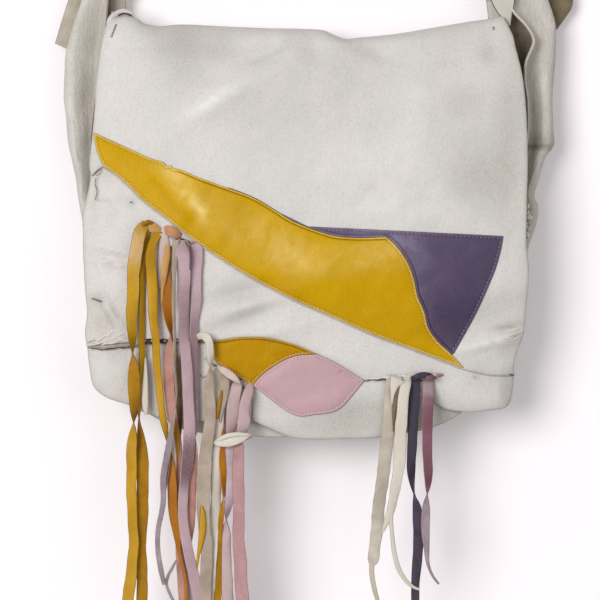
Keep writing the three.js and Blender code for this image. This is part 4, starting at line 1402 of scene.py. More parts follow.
@dataclass
class Fringe:
    """Three bunches of long leather strips laced through the flap's slits."""

    form: FlapForm
    thick: float = 1.2
    strips: tuple[Strip, ...] = (
        Strip("left_yellow_outer", Slot.YELLOW, YELLOW_STRIP, OCHRE_SUEDE, YELLOW_EDGE, Lane.NEAR, Layer.LOWER_PANEL, (
            (-126.6, -163.6, 0, 7), (-130.6, -167.4, 0, 9), (-132.6, -172.6, 0, 9.6), (-134.8, -185.6, 0, 10),
            (-136.4, -198, 0, 9.8), (-137.3, -208, 0, 9.5), (-137.8, -224, 4, 9), (-137.9, -241, 20, 8.6),
            (-138, -256, 55, 8.8), (-138, -265.6, 90, 9), (-137, -276, 140, 9.4), (-135.8, -292, 180, 9.8),
            (-136.2, -308, 215, 9.4), (-137, -321, 270, 9), (-138, -334, 330, 8.4), (-138.6, -350, 360, 7.8),
            (-138.6, -380, 360, 7.4), (-137.6, -404, 364, 7.2), (-136.8, -420, 360, 7.4), (-139, -440, 356, 8.2),
            (-141.6, -464, 360, 8.8), (-143.4, -492, 360, 8)), ((-182, 16, -0.2),)),
        Strip("left_yellow_inner", Slot.YELLOW, YELLOW_STRIP, OCHRE_SUEDE, YELLOW_EDGE, Lane.FAR, Layer.LOWER_PANEL, (
            (-123.6, -163.4, 10, 5), (-127, -173, 30, 5.2), (-129.4, -190, 40, 5.2), (-130.2, -220, 40, 5.2),
            (-130.6, -250, 40, 5.2), (-130.2, -268, 38, 5.2), (-130.8, -298, 44, 5.4), (-132.6, -316, 86, 6.6),
            (-131.4, -334, 140, 8.2), (-130, -356, 180, 8.8), (-130, -392, 180, 8.8), (-131.4, -416, 190, 8.4),
            (-130.8, -436, 180, 8.4), (-130.6, -460, 176, 8), (-131, -480, 180, 7.4))),
        Strip("left_yellow_short", Slot.YELLOW, YELLOW_STRIP, AMBER_STRIP, YELLOW_EDGE, Lane.NEAR, Layer.LOWER_PANEL, (
            (-117.2, -170.6, 0, 6), (-121.4, -177.6, 20, 6.8), (-123.4, -188.8, 30, 8.4), (-122.2, -208, 14, 8),
            (-121.2, -232, 8, 7.4), (-119.6, -252, 20, 6), (-118.6, -272, 6, 5.4), (-116, -300, 0, 5),
            (-112.6, -322, 16, 4.6), (-110, -334.4, 70, 4.6), (-107.6, -353.6, 150, 6), (-106.4, -376, 180, 7),
            (-105.2, -396, 184, 6.4), (-102.4, -414, 190, 4.4), (-100, -426, 186, 2.2), (-96.4, -440, 180, 1.8),
            (-94.6, -464, 180, 2.2), (-94.2, -476, 180, 3))),
        Strip("left_salmon", Slot.SALMON, AMBER_STRIP, SALMON_SUEDE, PEACH_EDGE, Lane.FAR, Layer.LOWER_PANEL, (
            (-109.4, -181, 0, 4), (-110.8, -198.4, 0, 5.4), (-110.8, -212, 0, 8), (-110, -228, 8, 8.6),
            (-108.4, -241.6, 40, 8), (-108, -252, 90, 7), (-108.8, -264, 150, 7.4), (-109, -284, 180, 7.6),
            (-107.8, -304, 180, 7.4), (-105.4, -320, 184, 7), (-103, -334, 188, 6.4), (-101.6, -346, 180, 6),
            (-101, -368, 176, 6.2), (-101.4, -400, 180, 6), (-100.4, -424, 184, 6.6), (-98.6, -440, 180, 7.6),
            (-97.2, -464, 176, 7.6), (-96.4, -476, 180, 6.4))),
        Strip("left_cream_thin", Slot.SUEDE, SAND_SUEDE, ASH_SUEDE, CREAM_EDGE_AND_SHADE, Lane.FIRST, Layer.LOWER_PANEL, (
            (-103.4, -176, 0, 5), (-104, -190, 0, 4), (-104.4, -204, 20, 2.8), (-104.6, -224, 40, 2.6),
            (-104.4, -252, 40, 2.6), (-103.6, -276, 60, 2.6), (-102.8, -300, 80, 3), (-105.4, -324, 130, 4),
            (-109.4, -344, 170, 4.8), (-112.8, -364, 180, 4.4), (-113.6, -384, 190, 4), (-117.2, -408, 180, 3.4),
            (-117.2, -428, 170, 3.6), (-114.8, -441.6, 180, 3.4), (-112.4, -450.4, 180, 2.8))),
        Strip("left_lilac_inner", Slot.LILAC, LILAC_STRIP, PLUM_SUEDE, LILAC_EDGE, Lane.NEAR, Layer.LOWER_PANEL, (
            (-95.8, -176.4, 0, 3), (-96.6, -181, 0, 9), (-97.5, -186.7, 0, 12), (-97, -196, 0, 10.6),
            (-96.7, -208, 0, 9.8), (-97.2, -222, 6, 9), (-97.4, -238, 20, 8.4), (-97, -252, 8, 7.6),
            (-95.4, -264, 0, 7.8), (-94, -288, 0, 8.2), (-93, -312, 0, 8.4), (-92.8, -330, 0, 8.6),
            (-93.4, -346, 4, 8.6), (-94.4, -356, 10, 8.2), (-96, -367, 20, 7.6), (-97.6, -380, 10, 7.2),
            (-98, -394, 0, 7.4), (-96.4, -408, 0, 7.4), (-93.2, -425.6, 12, 7.6), (-88.4, -446.4, 0, 8),
            (-84.8, -468, 0, 8), (-83, -488, 0, 7.4)), ((-352, 21, 0.95), (-232, 24, 0.42))),
        Strip("left_lilac_outer", Slot.LILAC, LILAC_STRIP, SALMON_SUEDE, LILAC_EDGE, Lane.FAR, Layer.LOWER_PANEL, (
            (-88, -178, 0, 7), (-86.8, -182.4, 0, 8.8), (-86.6, -190, 0, 8.8), (-87.4, -206, 0, 7.8),
            (-87.4, -224, 6, 7.6), (-88.4, -244, 30, 7), (-89, -264, 30, 6.8), (-89, -292, 20, 6.8),
            (-88.4, -316, 30, 7), (-88.4, -336, 100, 7), (-90, -356, 180, 7), (-91.2, -384, 180, 7.2),
            (-92.4, -404, 200, 7), (-94, -432, 270, 7), (-92.4, -464, 360, 7),
            (-91.6, -476, 360, 6)), ((-275, 40, 0.5),)),
        Strip("middle_cream_wide", Slot.SUEDE, CREAM_STRIP, SAND_SUEDE, CREAM_EDGE_AND_SHADE, Lane.NEAR, Layer.LOWER_PANEL, (
            (-86.4, -254.4, 0, 4.6), (-82.4, -252.4, 0, 5.4), (-78, -254.6, 0, 6), (-76.2, -261, 6, 6),
            (-75.6, -271, 40, 6), (-75.8, -282, 125, 6.6), (-76.4, -292, 172, 8), (-76.4, -304, 180, 8.4),
            (-76.8, -322, 180, 8.6), (-79, -344, 180, 9.2), (-81, -366, 180, 10.6), (-81.6, -384, 178, 10.2),
            (-80.8, -400, 170, 9.4), (-79, -432, 190, 9), (-80, -464, 180, 8.6), (-79.4, -482, 180, 7))),
        Strip("middle_cream", Slot.CREAM, CREAM_STRIP, CREAM_SUEDE, CREAM_EDGE_AND_SHADE, Lane.FAR, Layer.LEFT_LOBE, (
            (-71.2, -277, 0, 6), (-70, -292, 0, 7), (-68.6, -308, 0, 7.4), (-70, -328, 0, 7.8), (-70.8, -352, 8, 8),
            (-71.6, -384, 20, 8), (-73.6, -408, 0, 8), (-74.8, -432, -20, 8), (-76.4, -456, 0, 7.6),
            (-76.4, -472, 0, 6.4))),
        Strip("middle_amber", Slot.AMBER, AMBER_STRIP, OCHRE_SUEDE, PEACH_EDGE, Lane.FAR, Layer.LEFT_LOBE, (
            (-66, -283, 0, 2), (-66.2, -304, 0, 2), (-66.2, -336, 8, 3), (-65.6, -350, 14, 6), (-65, -362, 20, 7),
            (-64.8, -376, 60, 6.4), (-67.6, -396, 150, 5.2), (-69, -420, 180, 5), (-69.8, -440, 176, 6.2),
            (-70.8, -464, 180, 6.8), (-70, -490, 180, 5.6))),
        Strip("middle_pink_inner", Slot.PINK, PINK_STRIP, PALE_LILAC, PINK_EDGE, Lane.FAR, Layer.LEFT_LOBE, (
            (-52.8, -287.6, 0, 3), (-54.2, -291, 0, 7), (-57, -300, 0, 10.2), (-57.9, -308, 0, 9.8),
            (-58.5, -318, 0, 9), (-60, -330, 40, 8), (-60.8, -343, 180, 7), (-59.8, -360, 182, 6.6),
            (-60.6, -380, 190, 7), (-62.8, -393.6, 240, 7.6), (-64, -412, 340, 8.2), (-63.6, -432, 360, 7.8),
            (-62.4, -456, 360, 8.8), (-61.6, -480, 360, 7.6))),
        Strip("middle_pink_outer", Slot.PINK, PINK_STRIP, ROSE_SUEDE, PINK_EDGE, Lane.NEAR, Layer.LEFT_LOBE, (
            (-43.6, -291, 0, 4), (-45.2, -296.6, 0, 7.6), (-47.4, -304, 0, 8.2), (-49, -311, 0, 8), (-49, -321, 0, 10),
            (-51, -330, 40, 8), (-53.4, -342, 180, 8.2), (-53.3, -356, 180, 8.6), (-53.2, -384, 182, 8.6),
            (-53.6, -404, 184, 8.6), (-53, -420, 180, 9), (-51.6, -440, 176, 9.8), (-50.4, -464, 180, 9.8),
            (-50, -490, 180, 8))),
        Strip("right_cream_outer", Slot.SUEDE, CREAM_SUEDE, SAND_SUEDE, CREAM_EDGE_AND_SHADE, Lane.FAR, Layer.CENTRE_LOBE, (
            (69, -285, 0, 7), (67.8, -292, 0, 7.6), (66.8, -312, 0, 8.8), (65.8, -328, 0, 9.6), (63.4, -356, 8, 9.6),
            (60, -377, 12, 9.6), (57.4, -400, 6, 9.2), (55.2, -420, 0, 8.6), (54.2, -431, -4, 8.2),
            (53.6, -433.6, -6, 6.4), (53, -435.4, -10, 4), (53, -444, -20, 3.8), (55.6, -456, -40, 4.2),
            (58, -464, -50, 4.4), (60.4, -482, -50, 3.4))),
        Strip("right_cream_inner", Slot.CREAM, CREAM_STRIP, CREAM_SUEDE, CREAM_EDGE_AND_SHADE, Lane.NEAR, Layer.CENTRE_LOBE, (
            (81.6, -285, 0, 6), (80, -291, 0, 7.6), (78, -301, 0, 8.1), (77, -316, 0, 8.5), (75.7, -333.6, 0, 9),
            (74.2, -355, 4, 8.6), (71.2, -377, 14, 7.4), (67.4, -393.6, 10, 5.6), (64.2, -401.6, 0, 3.8),
            (61.4, -408.8, 0, 1.2))),
        Strip("right_purple", Slot.PURPLE, PURPLE_STRIP, DARK_SUEDE, PURPLE_EDGE, Lane.FAR, Layer.CENTRE_LOBE, (
            (87, -285.6, 0, 8), (86.6, -300, 0, 8.4), (85.6, -328, 0, 7.3), (84.6, -352, 8, 6.8), (85.2, -368, 50, 7),
            (86.8, -379.2, 90, 6.6), (89.2, -390.4, 150, 7.6), (89.6, -408, 180, 7.6), (89.2, -428, 180, 7.4),
            (88, -448, 200, 6.8), (87.6, -464, 204, 6.6), (87, -484, 200, 5.6))),
        Strip("right_plum", Slot.PLUM, PLUM_STRIP, ASH_SUEDE, PINK_EDGE, Lane.NEAR, Layer.CENTRE_LOBE, (
            (98, -285, 0, 8), (97.8, -300, 0, 8.6), (97.2, -325, 0, 7.8), (97.3, -352, 8, 7.2), (97.5, -371.2, 50, 7),
            (97.2, -379.2, 90, 6.4), (96.4, -390.4, 160, 6.4), (95.8, -404, 180, 6.4), (96, -420, 180, 4.4),
            (97.2, -433.6, 180, 2), (101.2, -444, 180, 1.4), (106, -450.4, 180, 1)), ((-286, 18, -0.22),)),
    )
    laces: tuple[Lace, ...] = (
        Lace(TAN_SUEDE, CREAM_EDGE_AND_SHADE, ((-128, -165, 3, 5), (-124.4, -165, 8.2, 7), (-120, -167.6, 8.6, 6.8),
            (-116.6, -171, 6.6, 5), (-115, -173, 3.4, 4))),
        Lace(APRICOT_SUEDE, CREAM_EDGE_AND_SHADE, ((-113.4, -168, 3.4, 5), (-110.6, -168.2, 7.6, 7.2), (-105.8, -169.6, 8.4, 8),
            (-101.8, -172.6, 7, 6.4), (-99.8, -175, 3, 4.4))),
        Lace(BLUSH, CREAM_EDGE_AND_SHADE, ((-114.4, -164.8, 3.4, 5), (-114.2, -168.4, 6.2, 6.6), (-113, -182, 6.4, 8.4),
            (-114.4, -196, 6.4, 7), (-116, -208, 6.4, 3.6), (-116.6, -216, 6.4, 1))),
        Lace(OCHRE_SUEDE, YELLOW_EDGE, ((-131.6, -167.4, 8, 1.6), (-128.8, -163.4, 12, 2.2),
            (-125.4, -161.6, 12.6, 2.4), (-122.4, -162.8, 9.4, 2), (-120.6, -164.6, 4, 1.6))),
        Lace(PURPLE_STRIP, PURPLE_EDGE, ((84.2, -288, 5, 3), (87, -285.6, 13.4, 3.6), (92.2, -283.8, 14.2, 4.2),
            (97.6, -283.8, 13.6, 3.6), (100.6, -284.6, 7, 2))),
        Lace(PLUM_STRIP, PINK_EDGE, ((93.6, -287, 12, 1.6), (97.4, -286, 15, 2.8), (101.4, -285.8, 14.6, 2.6),
            (103.8, -286.8, 7, 1.6))),
        Lace(BLUSH, PINK_EDGE, ((101.8, -283, 13, 1), (103.2, -283.4, 14.6, 1.7), (104.4, -284.4, 13, 1))),
        Lace(SHADE_SUEDE, CREAM_EDGE_AND_SHADE, ((103.8, -284.2, 5.4, 2.4), (107.2, -284.2, 5.8, 2.2), (110.4, -284, 5.2, 0.8))),
        # The khaki lens stands in for the shaded fold between the two right-hand cream strips.
        Lace(KHAKI_SUEDE_AND_SHADE, CREAM_EDGE_AND_SHADE, ((77.6, -287, 10.2, 1), (73.6, -294, 11.2, 4.2), (71.4, -303, 11.2, 5),
            (70.6, -314, 11.2, 3.4), (70.2, -329, 10.6, 0.8))),
        Lace(CREAM_STRIP, CREAM_EDGE_AND_SHADE, ((73.8, -285.4, 5.6, 12.4), (73.4, -287, 10.6, 12), (71, -291.4, 12, 7),
            (69.4, -299.6, 12.2, 2.6), (68.9, -306.6, 12, 0.8))),
        Lace(PLUM_SUEDE, PLUM_SUEDE, ((-95.6, -177.6, 15, 0.8), (-92, -184.4, 15.4, 0.9), (-91.4, -190, 14.8, 0.9),
            (-91.8, -200, 13.6, 0.8))),
        Lace(TAN_SUEDE, PEACH_EDGE, ((-109.6, -180, 10.2, 2.4), (-110.2, -188, 10.8, 4.6), (-112, -197, 10.8, 5.4),
            (-112.8, -206, 10.8, 4), (-114, -216, 10.6, 2), (-114.6, -226, 10.2, 0.9))),
        Lace(CREAM_STRIP, CREAM_EDGE_AND_SHADE, ((-127.6, -270, 9.8, 0.8), (-127.6, -284, 10, 3), (-128.2, -298, 10, 5),
            (-127.8, -308, 10, 4.4), (-127.2, -316, 9.6, 1.2))),
        Lace(BROWN_SUEDE_AND_SHADOW, PEACH_EDGE, ((-102.4, -268, 7.4, 1), (-102.2, -284, 7.8, 4), (-101.6, -304, 7.8, 5),
            (-101, -322, 7.8, 4.4), (-100.4, -336, 7.6, 1))),
        Lace(SAND_SUEDE, CREAM_EDGE_AND_SHADE, ((-66, -283, 6, 3), (-64.4, -288, 10.6, 6.4), (-64.6, -296, 11.2, 6.4),
            (-66, -306, 11.2, 4.6), (-67.4, -316, 10.8, 2), (-68, -322, 9.6, 1))),
        Lace(BLUSH, PINK_EDGE, ((-70, -277, 7, 2), (-66, -279.6, 12.4, 5), (-60.6, -283.2, 13.4, 6),
            (-55.6, -287, 13.2, 4.4), (-52.6, -290, 11.4, 1.6))),
        Lace(OCHRE_SUEDE, YELLOW_EDGE, ((-66.4, -296, 12, 0.8), (-67.8, -303, 12.6, 2.2), (-69.4, -311, 12.6, 2.2),
            (-70.6, -319, 12, 0.8))),
        Lace(CREAM_STRIP, CREAM_EDGE_AND_SHADE, ((69.2, -384, 13.7, 4), (68, -396, 13.4, 3.2), (68.8, -408, 13.2, 2.6),
            (70.8, -425.6, 13.4, 3), (74.4, -438.4, 13.4, 3), (80.4, -448, 13.2, 2.6), (86, -452.8, 13, 2),
            (90.8, -454.8, 13, 1.4))),
        Lace(YELLOW_STRIP, YELLOW_EDGE, ((-82.6, -388, 14.8, 1.2), (-81.8, -396, 15.4, 4), (-82, -406, 15.4, 5),
            (-83.4, -417, 15.2, 3.6), (-85.4, -428, 14.8, 1.8), (-86.6, -438, 14.4, 1))),
        Lace(ASH_SUEDE, CREAM_EDGE_AND_SHADE, ((-102.8, -431, 16.6, 1), (-106, -437, 17, 1.7), (-109.6, -444, 17.2, 1.9),
            (-110.6, -450, 17.2, 1.9), (-107.4, -459, 17, 1.8), (-103, -467, 16.6, 1.4))),
        Lace(BLUSH, PEACH_EDGE, ((-109, -322, 11, 2), (-107.6, -332, 12, 5), (-106, -344, 12, 5),
            (-104.6, -354, 12, 3.4), (-104, -364, 12, 1))),
        Lace(PLUM_SUEDE, LILAC_EDGE, ((-108.8, -346, 15, 1), (-110.4, -354, 17, 4.6), (-112.2, -365, 17, 5),
            (-113.2, -376, 17, 4), (-114, -388, 16, 1))),
        Lace(OCHRE_SUEDE, PEACH_EDGE, ((-104.8, -318, 10.6, 2), (-103.4, -330, 10.8, 4.2), (-103.2, -342, 10.8, 4),
            (-104, -354, 10.6, 1.4))),
    )
    tie: tuple[Knots, ...] = (
        ((-73, -337.4, 12, 1), (-69, -335.2, 17, 2.4), (-62, -331.9, 19, 3.2), (-53.6, -330.8, 19, 3),
            (-45.6, -331.2, 17.4, 2), (-42, -331.4, 13, 1)),
        ((-73, -337.4, 12, 1), (-70, -338.4, 16, 3.2), (-62, -337.4, 18, 6.4), (-53.6, -335, 18.2, 6.4),
            (-46, -332.2, 17, 3), (-42, -331.4, 13, 1)),
        ((-73, -337.4, 12, 1.4), (-70, -336.4, 7.4, 4), (-58, -335.4, 5.2, 5), (-46, -333, 7, 4),
            (-42, -331.4, 13, 1.4)),
    )
    pieces: dict[str, Piece] = field(default_factory=dict)

    def build(self) -> None:
        """Makes every strip, the laces at their roots and the tie."""
        for number, strip in enumerate(self.strips):
            self.hang(strip, number)
        self.lay_laces()
        self.knot()

    def lay(self, run: Knots, step: float) -> Array:
        """Runs a smooth path in front of the flap through places across, down and out, with what goes along."""
        x, z, lift, *more = np.array(run, float).T
        return curve(np.column_stack([self.form.before(x, z, lift), *more]), step, 3)

    def sweep(self, line: Array) -> Array:
        """Finds which way a strip is wide, before it turns about its length.

        Args:
            line: The strip's path.

        Returns:
            The directions across it, in the flap's plane where they can be.
        """
        along = unit(np.gradient(line, axis=0))
        flat = np.hypot(along[:, 0], along[:, 2])
        across = np.stack([-along[:, 2], 0 * flat, along[:, 0]], axis=1)
        good = np.where(flat > 0.45)[0]
        nearest = good[np.abs(np.arange(len(line))[:, None] - good[None]).argmin(axis=1)]
        return unit(across[nearest])

    def hang(self, strip: Strip, number: int) -> None:
        """Makes one strip: out through its slit, over and down, turning about its own length.

        Args:
            strip: The strip.
            number: Its number, for small differences.
        """
        layer, hang = strip.layer.value, Layer.UPPER_PANEL.value + strip.lane.value
        run = [(x, z, math.radians(turn), wide) for x, z, turn, wide in strip.run]
        rx, rz, *root = run[0]
        under = strip.layer is Layer.CENTRE_LOBE
        knots = [
            (rx, rz + (3 if under else -3), layer + (1.8 if under else -1.5), *root),
            (rx, rz, layer + 3.2, *root),
        ]
        near = 0.75 * hang + 0.25 * layer
        knots += [(x, z, near if i == 0 else hang, *more) for i, (x, z, *more) in enumerate(run[1:])]
        line = self.lay(knots, 2.0)
        path, turns, width = line[:, :3].copy(), line[:, 3], line[:, 4]
        far = np.cumsum(np.linalg.norm(np.diff(path, axis=0, prepend=path[:1]), axis=1))
        path[:, 0] += 0.3 * ripple(far, far * 0, 40, 200 + number) * ease(far, 25, 60)
        width = np.maximum(width * (1 + 0.035 * ripple(far, far * 0, 15, 300 + number)), 0.8)
        flat = self.sweep(path)
        across = np.cos(turns)[:, None] * flat - np.sin(turns)[:, None] * FRONT
        bend = -1.0 if number % 3 == 0 else 1.0
        cup = 0.045 * width * bend * (0.4 + 0.6 * ripple(far, far * 0, 60, 400 + number))
        wear_and_shading = np.zeros(len(path))
        # Bands along the strip painted darker, or paler where negative, partly as painted shade.
        for z, reach, dark in strip.soiling_and_shading:
            wear_and_shading = wear_and_shading + dark * np.exp(-(((path[:, 2] - z) / reach) ** 4))
        skin = Skin()
        band(skin, path, across, width, self.thick, cup, wear_and_shading=wear_and_shading)
        node = f"fringe_{strip.name}"
        piece = skin.make(f"{node}_leather", (strip.face, strip.back, strip.edge))
        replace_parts(piece, node)
        self.pieces[node] = piece

    def ribbon(self, skin: Skin, run: Knots, step: float, cup: float) -> None:
        """Sweeps a short strip.

        Args:
            skin: Takes the faces.
            run: Places: across, down, lift and width.
            step: Rough distance between samples.
            cup: How far its edges curl back, for its width.
        """
        line = self.lay(run, step)
        path, wide = line[:, :3], line[:, 3]
        band(skin, path, self.sweep(path), wide, self.thick, cup * wide)

    def lay_laces(self) -> None:
        """Makes the short laces that bridge the slits, each a piece of its own."""
        for number, lace in enumerate(self.laces):
            skin = Skin()
            self.ribbon(skin, lace.run, 1.2, 0.05)
            group = "right" if lace.run[0][0] > 0 else "left"
            piece = skin.make(f"lace_{group}_{number}", (lace.finish, lace.finish, lace.edge))
            self.pieces[piece.name] = piece

    def knot(self) -> None:
        """Makes the strip tied round the two pink ones: two leaf-shaped folds in front and a turn behind."""
        skin = Skin()
        for fold in self.tie:
            self.ribbon(skin, fold, 1.0, 0.06)
        piece = skin.make("fringe_tie_leather", (CREAM_STRIP, CREAM_SUEDE, CREAM_EDGE_AND_SHADE))
        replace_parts(piece, "fringe_tie")
        self.pieces["fringe_tie"] = piece


@dataclass
class Mends:
    """What years of use left on the flap: bar tacks, loose threads, a torn seam and a rolled corner, with thin dark
    rolls painted in as shadow in its creases and under its puckers, lip and left edge.
    """

    form: FlapForm
    tacks: Rows = (
        (-152.6, -1.5, -156.4, -12.6, 7), (151.4, -3.4, 152.2, -6.4, 2), (-171, -222.6, -163, -225.4, 5),
        (-140.4, -145.4, -138.8, -146.2, 1), (-91.6, -189, -82.6, -189, 3), (163.4, -283.4, 167, -284.4, 3),
    )
    threads: tuple[tuple[Knots, float], ...] = (
        (((-170.6, -124.6), (-167.6, -121), (-164.4, -118.8), (-163.4, -120), (-164.8, -122.4), (-167.6, -124.4)),
            0.22),
        (((-167.8, -126), (-168.6, -131), (-167, -137), (-168.4, -144)), 0.3),
        (((-84.6, -283), (-81.6, -286), (-79.4, -284.6)), 0.32),
        (((-94, -188.6), (-90, -189.4), (-84, -188.4)), 0.3),
    )
    tufts: Rows = (
        (178.4, -144), (180.4, -149), (179, -153.6), (181, -158.6), (179.6, -163.4), (180.2, -168.6), (179, -173.6),
        (177.6, -179),
    )
    # The thin rolls in the cut-edge and brown finishes are dark lines painted in as shadow under the puckered seam,
    # the lip and the flap's left edge.
    puckers: tuple[tuple[Knots, float, float, int], ...] = (
        (((-176, -257), (-168, -255.8), (-160, -253), (-154, -249), (-148, -247.6)), 1.1, 5.0, 0),
        (((-175.6, -259.6), (-166, -259), (-158, -256.6), (-150, -252.6), (-144, -250.8), (-137, -252.4)),
            0.9, 5.2, 0),
        (((-163, -259.8), (-154, -258), (-147, -256), (-140, -256.8), (-131, -258.4)), 0.85, 5.3, 0),
        (((-156, -255), (-149, -254.4), (-143, -254), (-137, -255.2)), 0.6, 5.6, 0),
        (((-175, -261.4), (-160, -262), (-148, -261.2), (-136, -259.6), (-128, -258.6)), 0.55, 4.8, 2),
        (((-174, -262.6), (-160, -263.2), (-146, -262.2), (-130, -260)), 0.4, 4.2, 5),
        (((-169.6, -66), (-170.7, -80), (-172, -96), (-173, -110)), 0.5, 0.4, 5),
        (((47, -287.4), (60, -286.2), (75, -284.8), (90, -283.6)), 0.9, 5.4, 0),
        (((46, -288.8), (60, -287.6), (75, -286.2), (90, -285)), 0.35, 5.2, 5),
    )
    # The thin rolls in the cut-edge finish lie in the valleys as painted shade between the cream ridges.
    wrinkles: tuple[tuple[Knots, float, int], ...] = (
        (((173.4, -245), (167, -247.4), (160.4, -249), (154, -252)), 0.75, 0),
        (((174, -248.4), (168.4, -250.4), (162, -253)), 0.7, 0),
        (((173.4, -251.6), (168, -254.4), (164, -257)), 0.6, 0),
        (((173.8, -246.8), (167.6, -249), (160, -251.4)), 0.3, 2),
        (((173.8, -250.2), (168.4, -252.6), (163, -255.4)), 0.28, 2),
    )
    pieces: list[Piece] = field(default_factory=list)

    def build(self) -> None:
        """Makes the mends as one piece of leather scraps and threads."""
        skin = Skin()
        needle = Needle(length=1.0, radius=0.4)
        for ax, az, bx, bz, count in self.tacks:
            for share in (np.arange(count) + 0.5) / count:
                middle = np.array([ax + share * (bx - ax), az + share * (bz - az)])
                ends = self.on(np.array([middle + [-1.0, -0.35], middle + [1.0, 0.35]]), 0.2)
                needle.stitch(skin, ends[0], ends[1], FRONT, 3)
        for run, radius in self.threads:
            roll(skin, self.on(curve(run, 0.7), 0.4), radius, 3, 6)
        for run, radius, finish in self.wrinkles:
            path = curve(run, 0.7)
            taper = np.sin(math.pi * np.linspace(0.05, 0.95, len(path))) ** 0.5
            roll(skin, self.on(path, -0.1), radius * taper, finish, 8)
        self.torn_seam(skin)
        self.corner(skin)
        dice = np.random.default_rng(8)
        for x, z in self.tufts:
            for _ in range(5):
                reach = np.cumsum(dice.uniform(-1.5, 1.5, (6, 2)), axis=0) + [x - 1.6, z]
                line = self.form.before(reach[:, 0], reach[:, 1], 3.6)
                roll(skin, curve(line, 0.7, 3), 0.34, int(dice.choice([1, 3, 4], p=[0.3, 0.25, 0.45])), 5)
        finishes = (CREAM, CREAM_SUEDE, CREAM_EDGE_AND_SHADE, DARK_THREAD, CREAM_THREAD, BROWN_SUEDE_AND_SHADOW)
        self.pieces.append(skin.make("flap_mends", finishes))

    def on(self, points: Array, lift: float) -> Array:
        """Puts seen places on the flap's face, also on the front of the top fold.

        Args:
            points: Places across and down as seen from the front.
            lift: How far they stand off the face.

        Returns:
            The places in space.
        """
        x, z = points.T
        foot = self.form.fold_foot
        tops = np.interp(x, self.form.tops[:, 0], self.form.tops[:, 1]) - foot
        angle = np.arcsin(np.clip((z - foot) / tops, 0, 0.98)) / math.pi
        flat = np.where(z > foot, foot + self.form.fold_arc * angle, z)
        return self.form.place(np.stack([x, flat], axis=1), self.form.face + lift)

    def torn_seam(self, skin: Skin) -> None:
        """Makes the open seam over the left lobe: a puckered lip with a dark brown band painted in as the gap's
        shadow, and loose stitches below it.

        Args:
            skin: Takes the faces.
        """
        for number, (run, size, lift, finish) in enumerate(self.puckers):
            path = curve(run, 0.8)
            x = path[:, 0]
            taper = np.sin(math.pi * np.linspace(0.06, 0.94, len(path))) ** 0.5
            wobble = 0.4 * ripple(x, x * 0, 7, 72 + number)
            fat = size * taper * (1 + 0.3 * ripple(x, x * 0, 5, 82 + number)) + 0.08
            roll(skin, self.form.before(x, path[:, 1] + wobble, lift), fat, finish, 8)
        along = np.linspace(-174.6, -79, 120)
        gap = along > -129
        line = curve(Flap.left_seam, 1.0)
        z = np.interp(along, line[:, 0], line[:, 1])
        # A dark brown band lies in the gap as painted shadow.
        dark = self.form.before(along, z + 0.4, 5.2)[gap]
        wide = 3.4 + 1.2 * ripple(along, along * 0, 6, 75)[gap]
        band(skin, dark, np.tile([0.0, 0.0, 1.0], (len(dark), 1)), wide, 0.9, 0.0, 5, (5, 5, 5))
        for x in np.arange(-134, -80, 5.2):
            ends = self.form.before(np.array([x, x + 1.6]), np.full(2, -256.6), 6.0)
            Needle(radius=0.7).stitch(skin, ends[0], ends[1], FRONT, 4)

    def corner(self, skin: Skin) -> None:
        """Makes the rolled ear of leather at the flap's upper left corner, with a dark brown roll painted in as the
        shade in its opening.

        Args:
            skin: Takes the faces.
        """
        rise = (
            (-160, -17, -4), (-158.6, -14, 1), (-156.2, -11, 5), (-152.6, -8.6, 8), (-147.6, -7, 10),
            (-142.8, -7.6, 8.8), (-138.6, -8.6, 6.2), (-134, -9.6, 2.6),
        )
        arc = curve(rise, 0.8, 3)
        far = np.linspace(0, 1, len(arc))
        # The dark brown roll stands in for the shade inside the ear.
        hole_shadow = curve(((-151.4, -13.6, 6), (-148, -13.2, 7.6), (-144, -13, 7.4), (-140.6, -13, 6)), 0.8, 3)
        roll(skin, hole_shadow, 0.8, 5, 8)
        roll(skin, arc, 2.6 * (1 - 0.86 * ease(far, 0.55, 1.0)) * (0.5 + 0.5 * ease(far, 0.0, 0.25)), 0, 12)


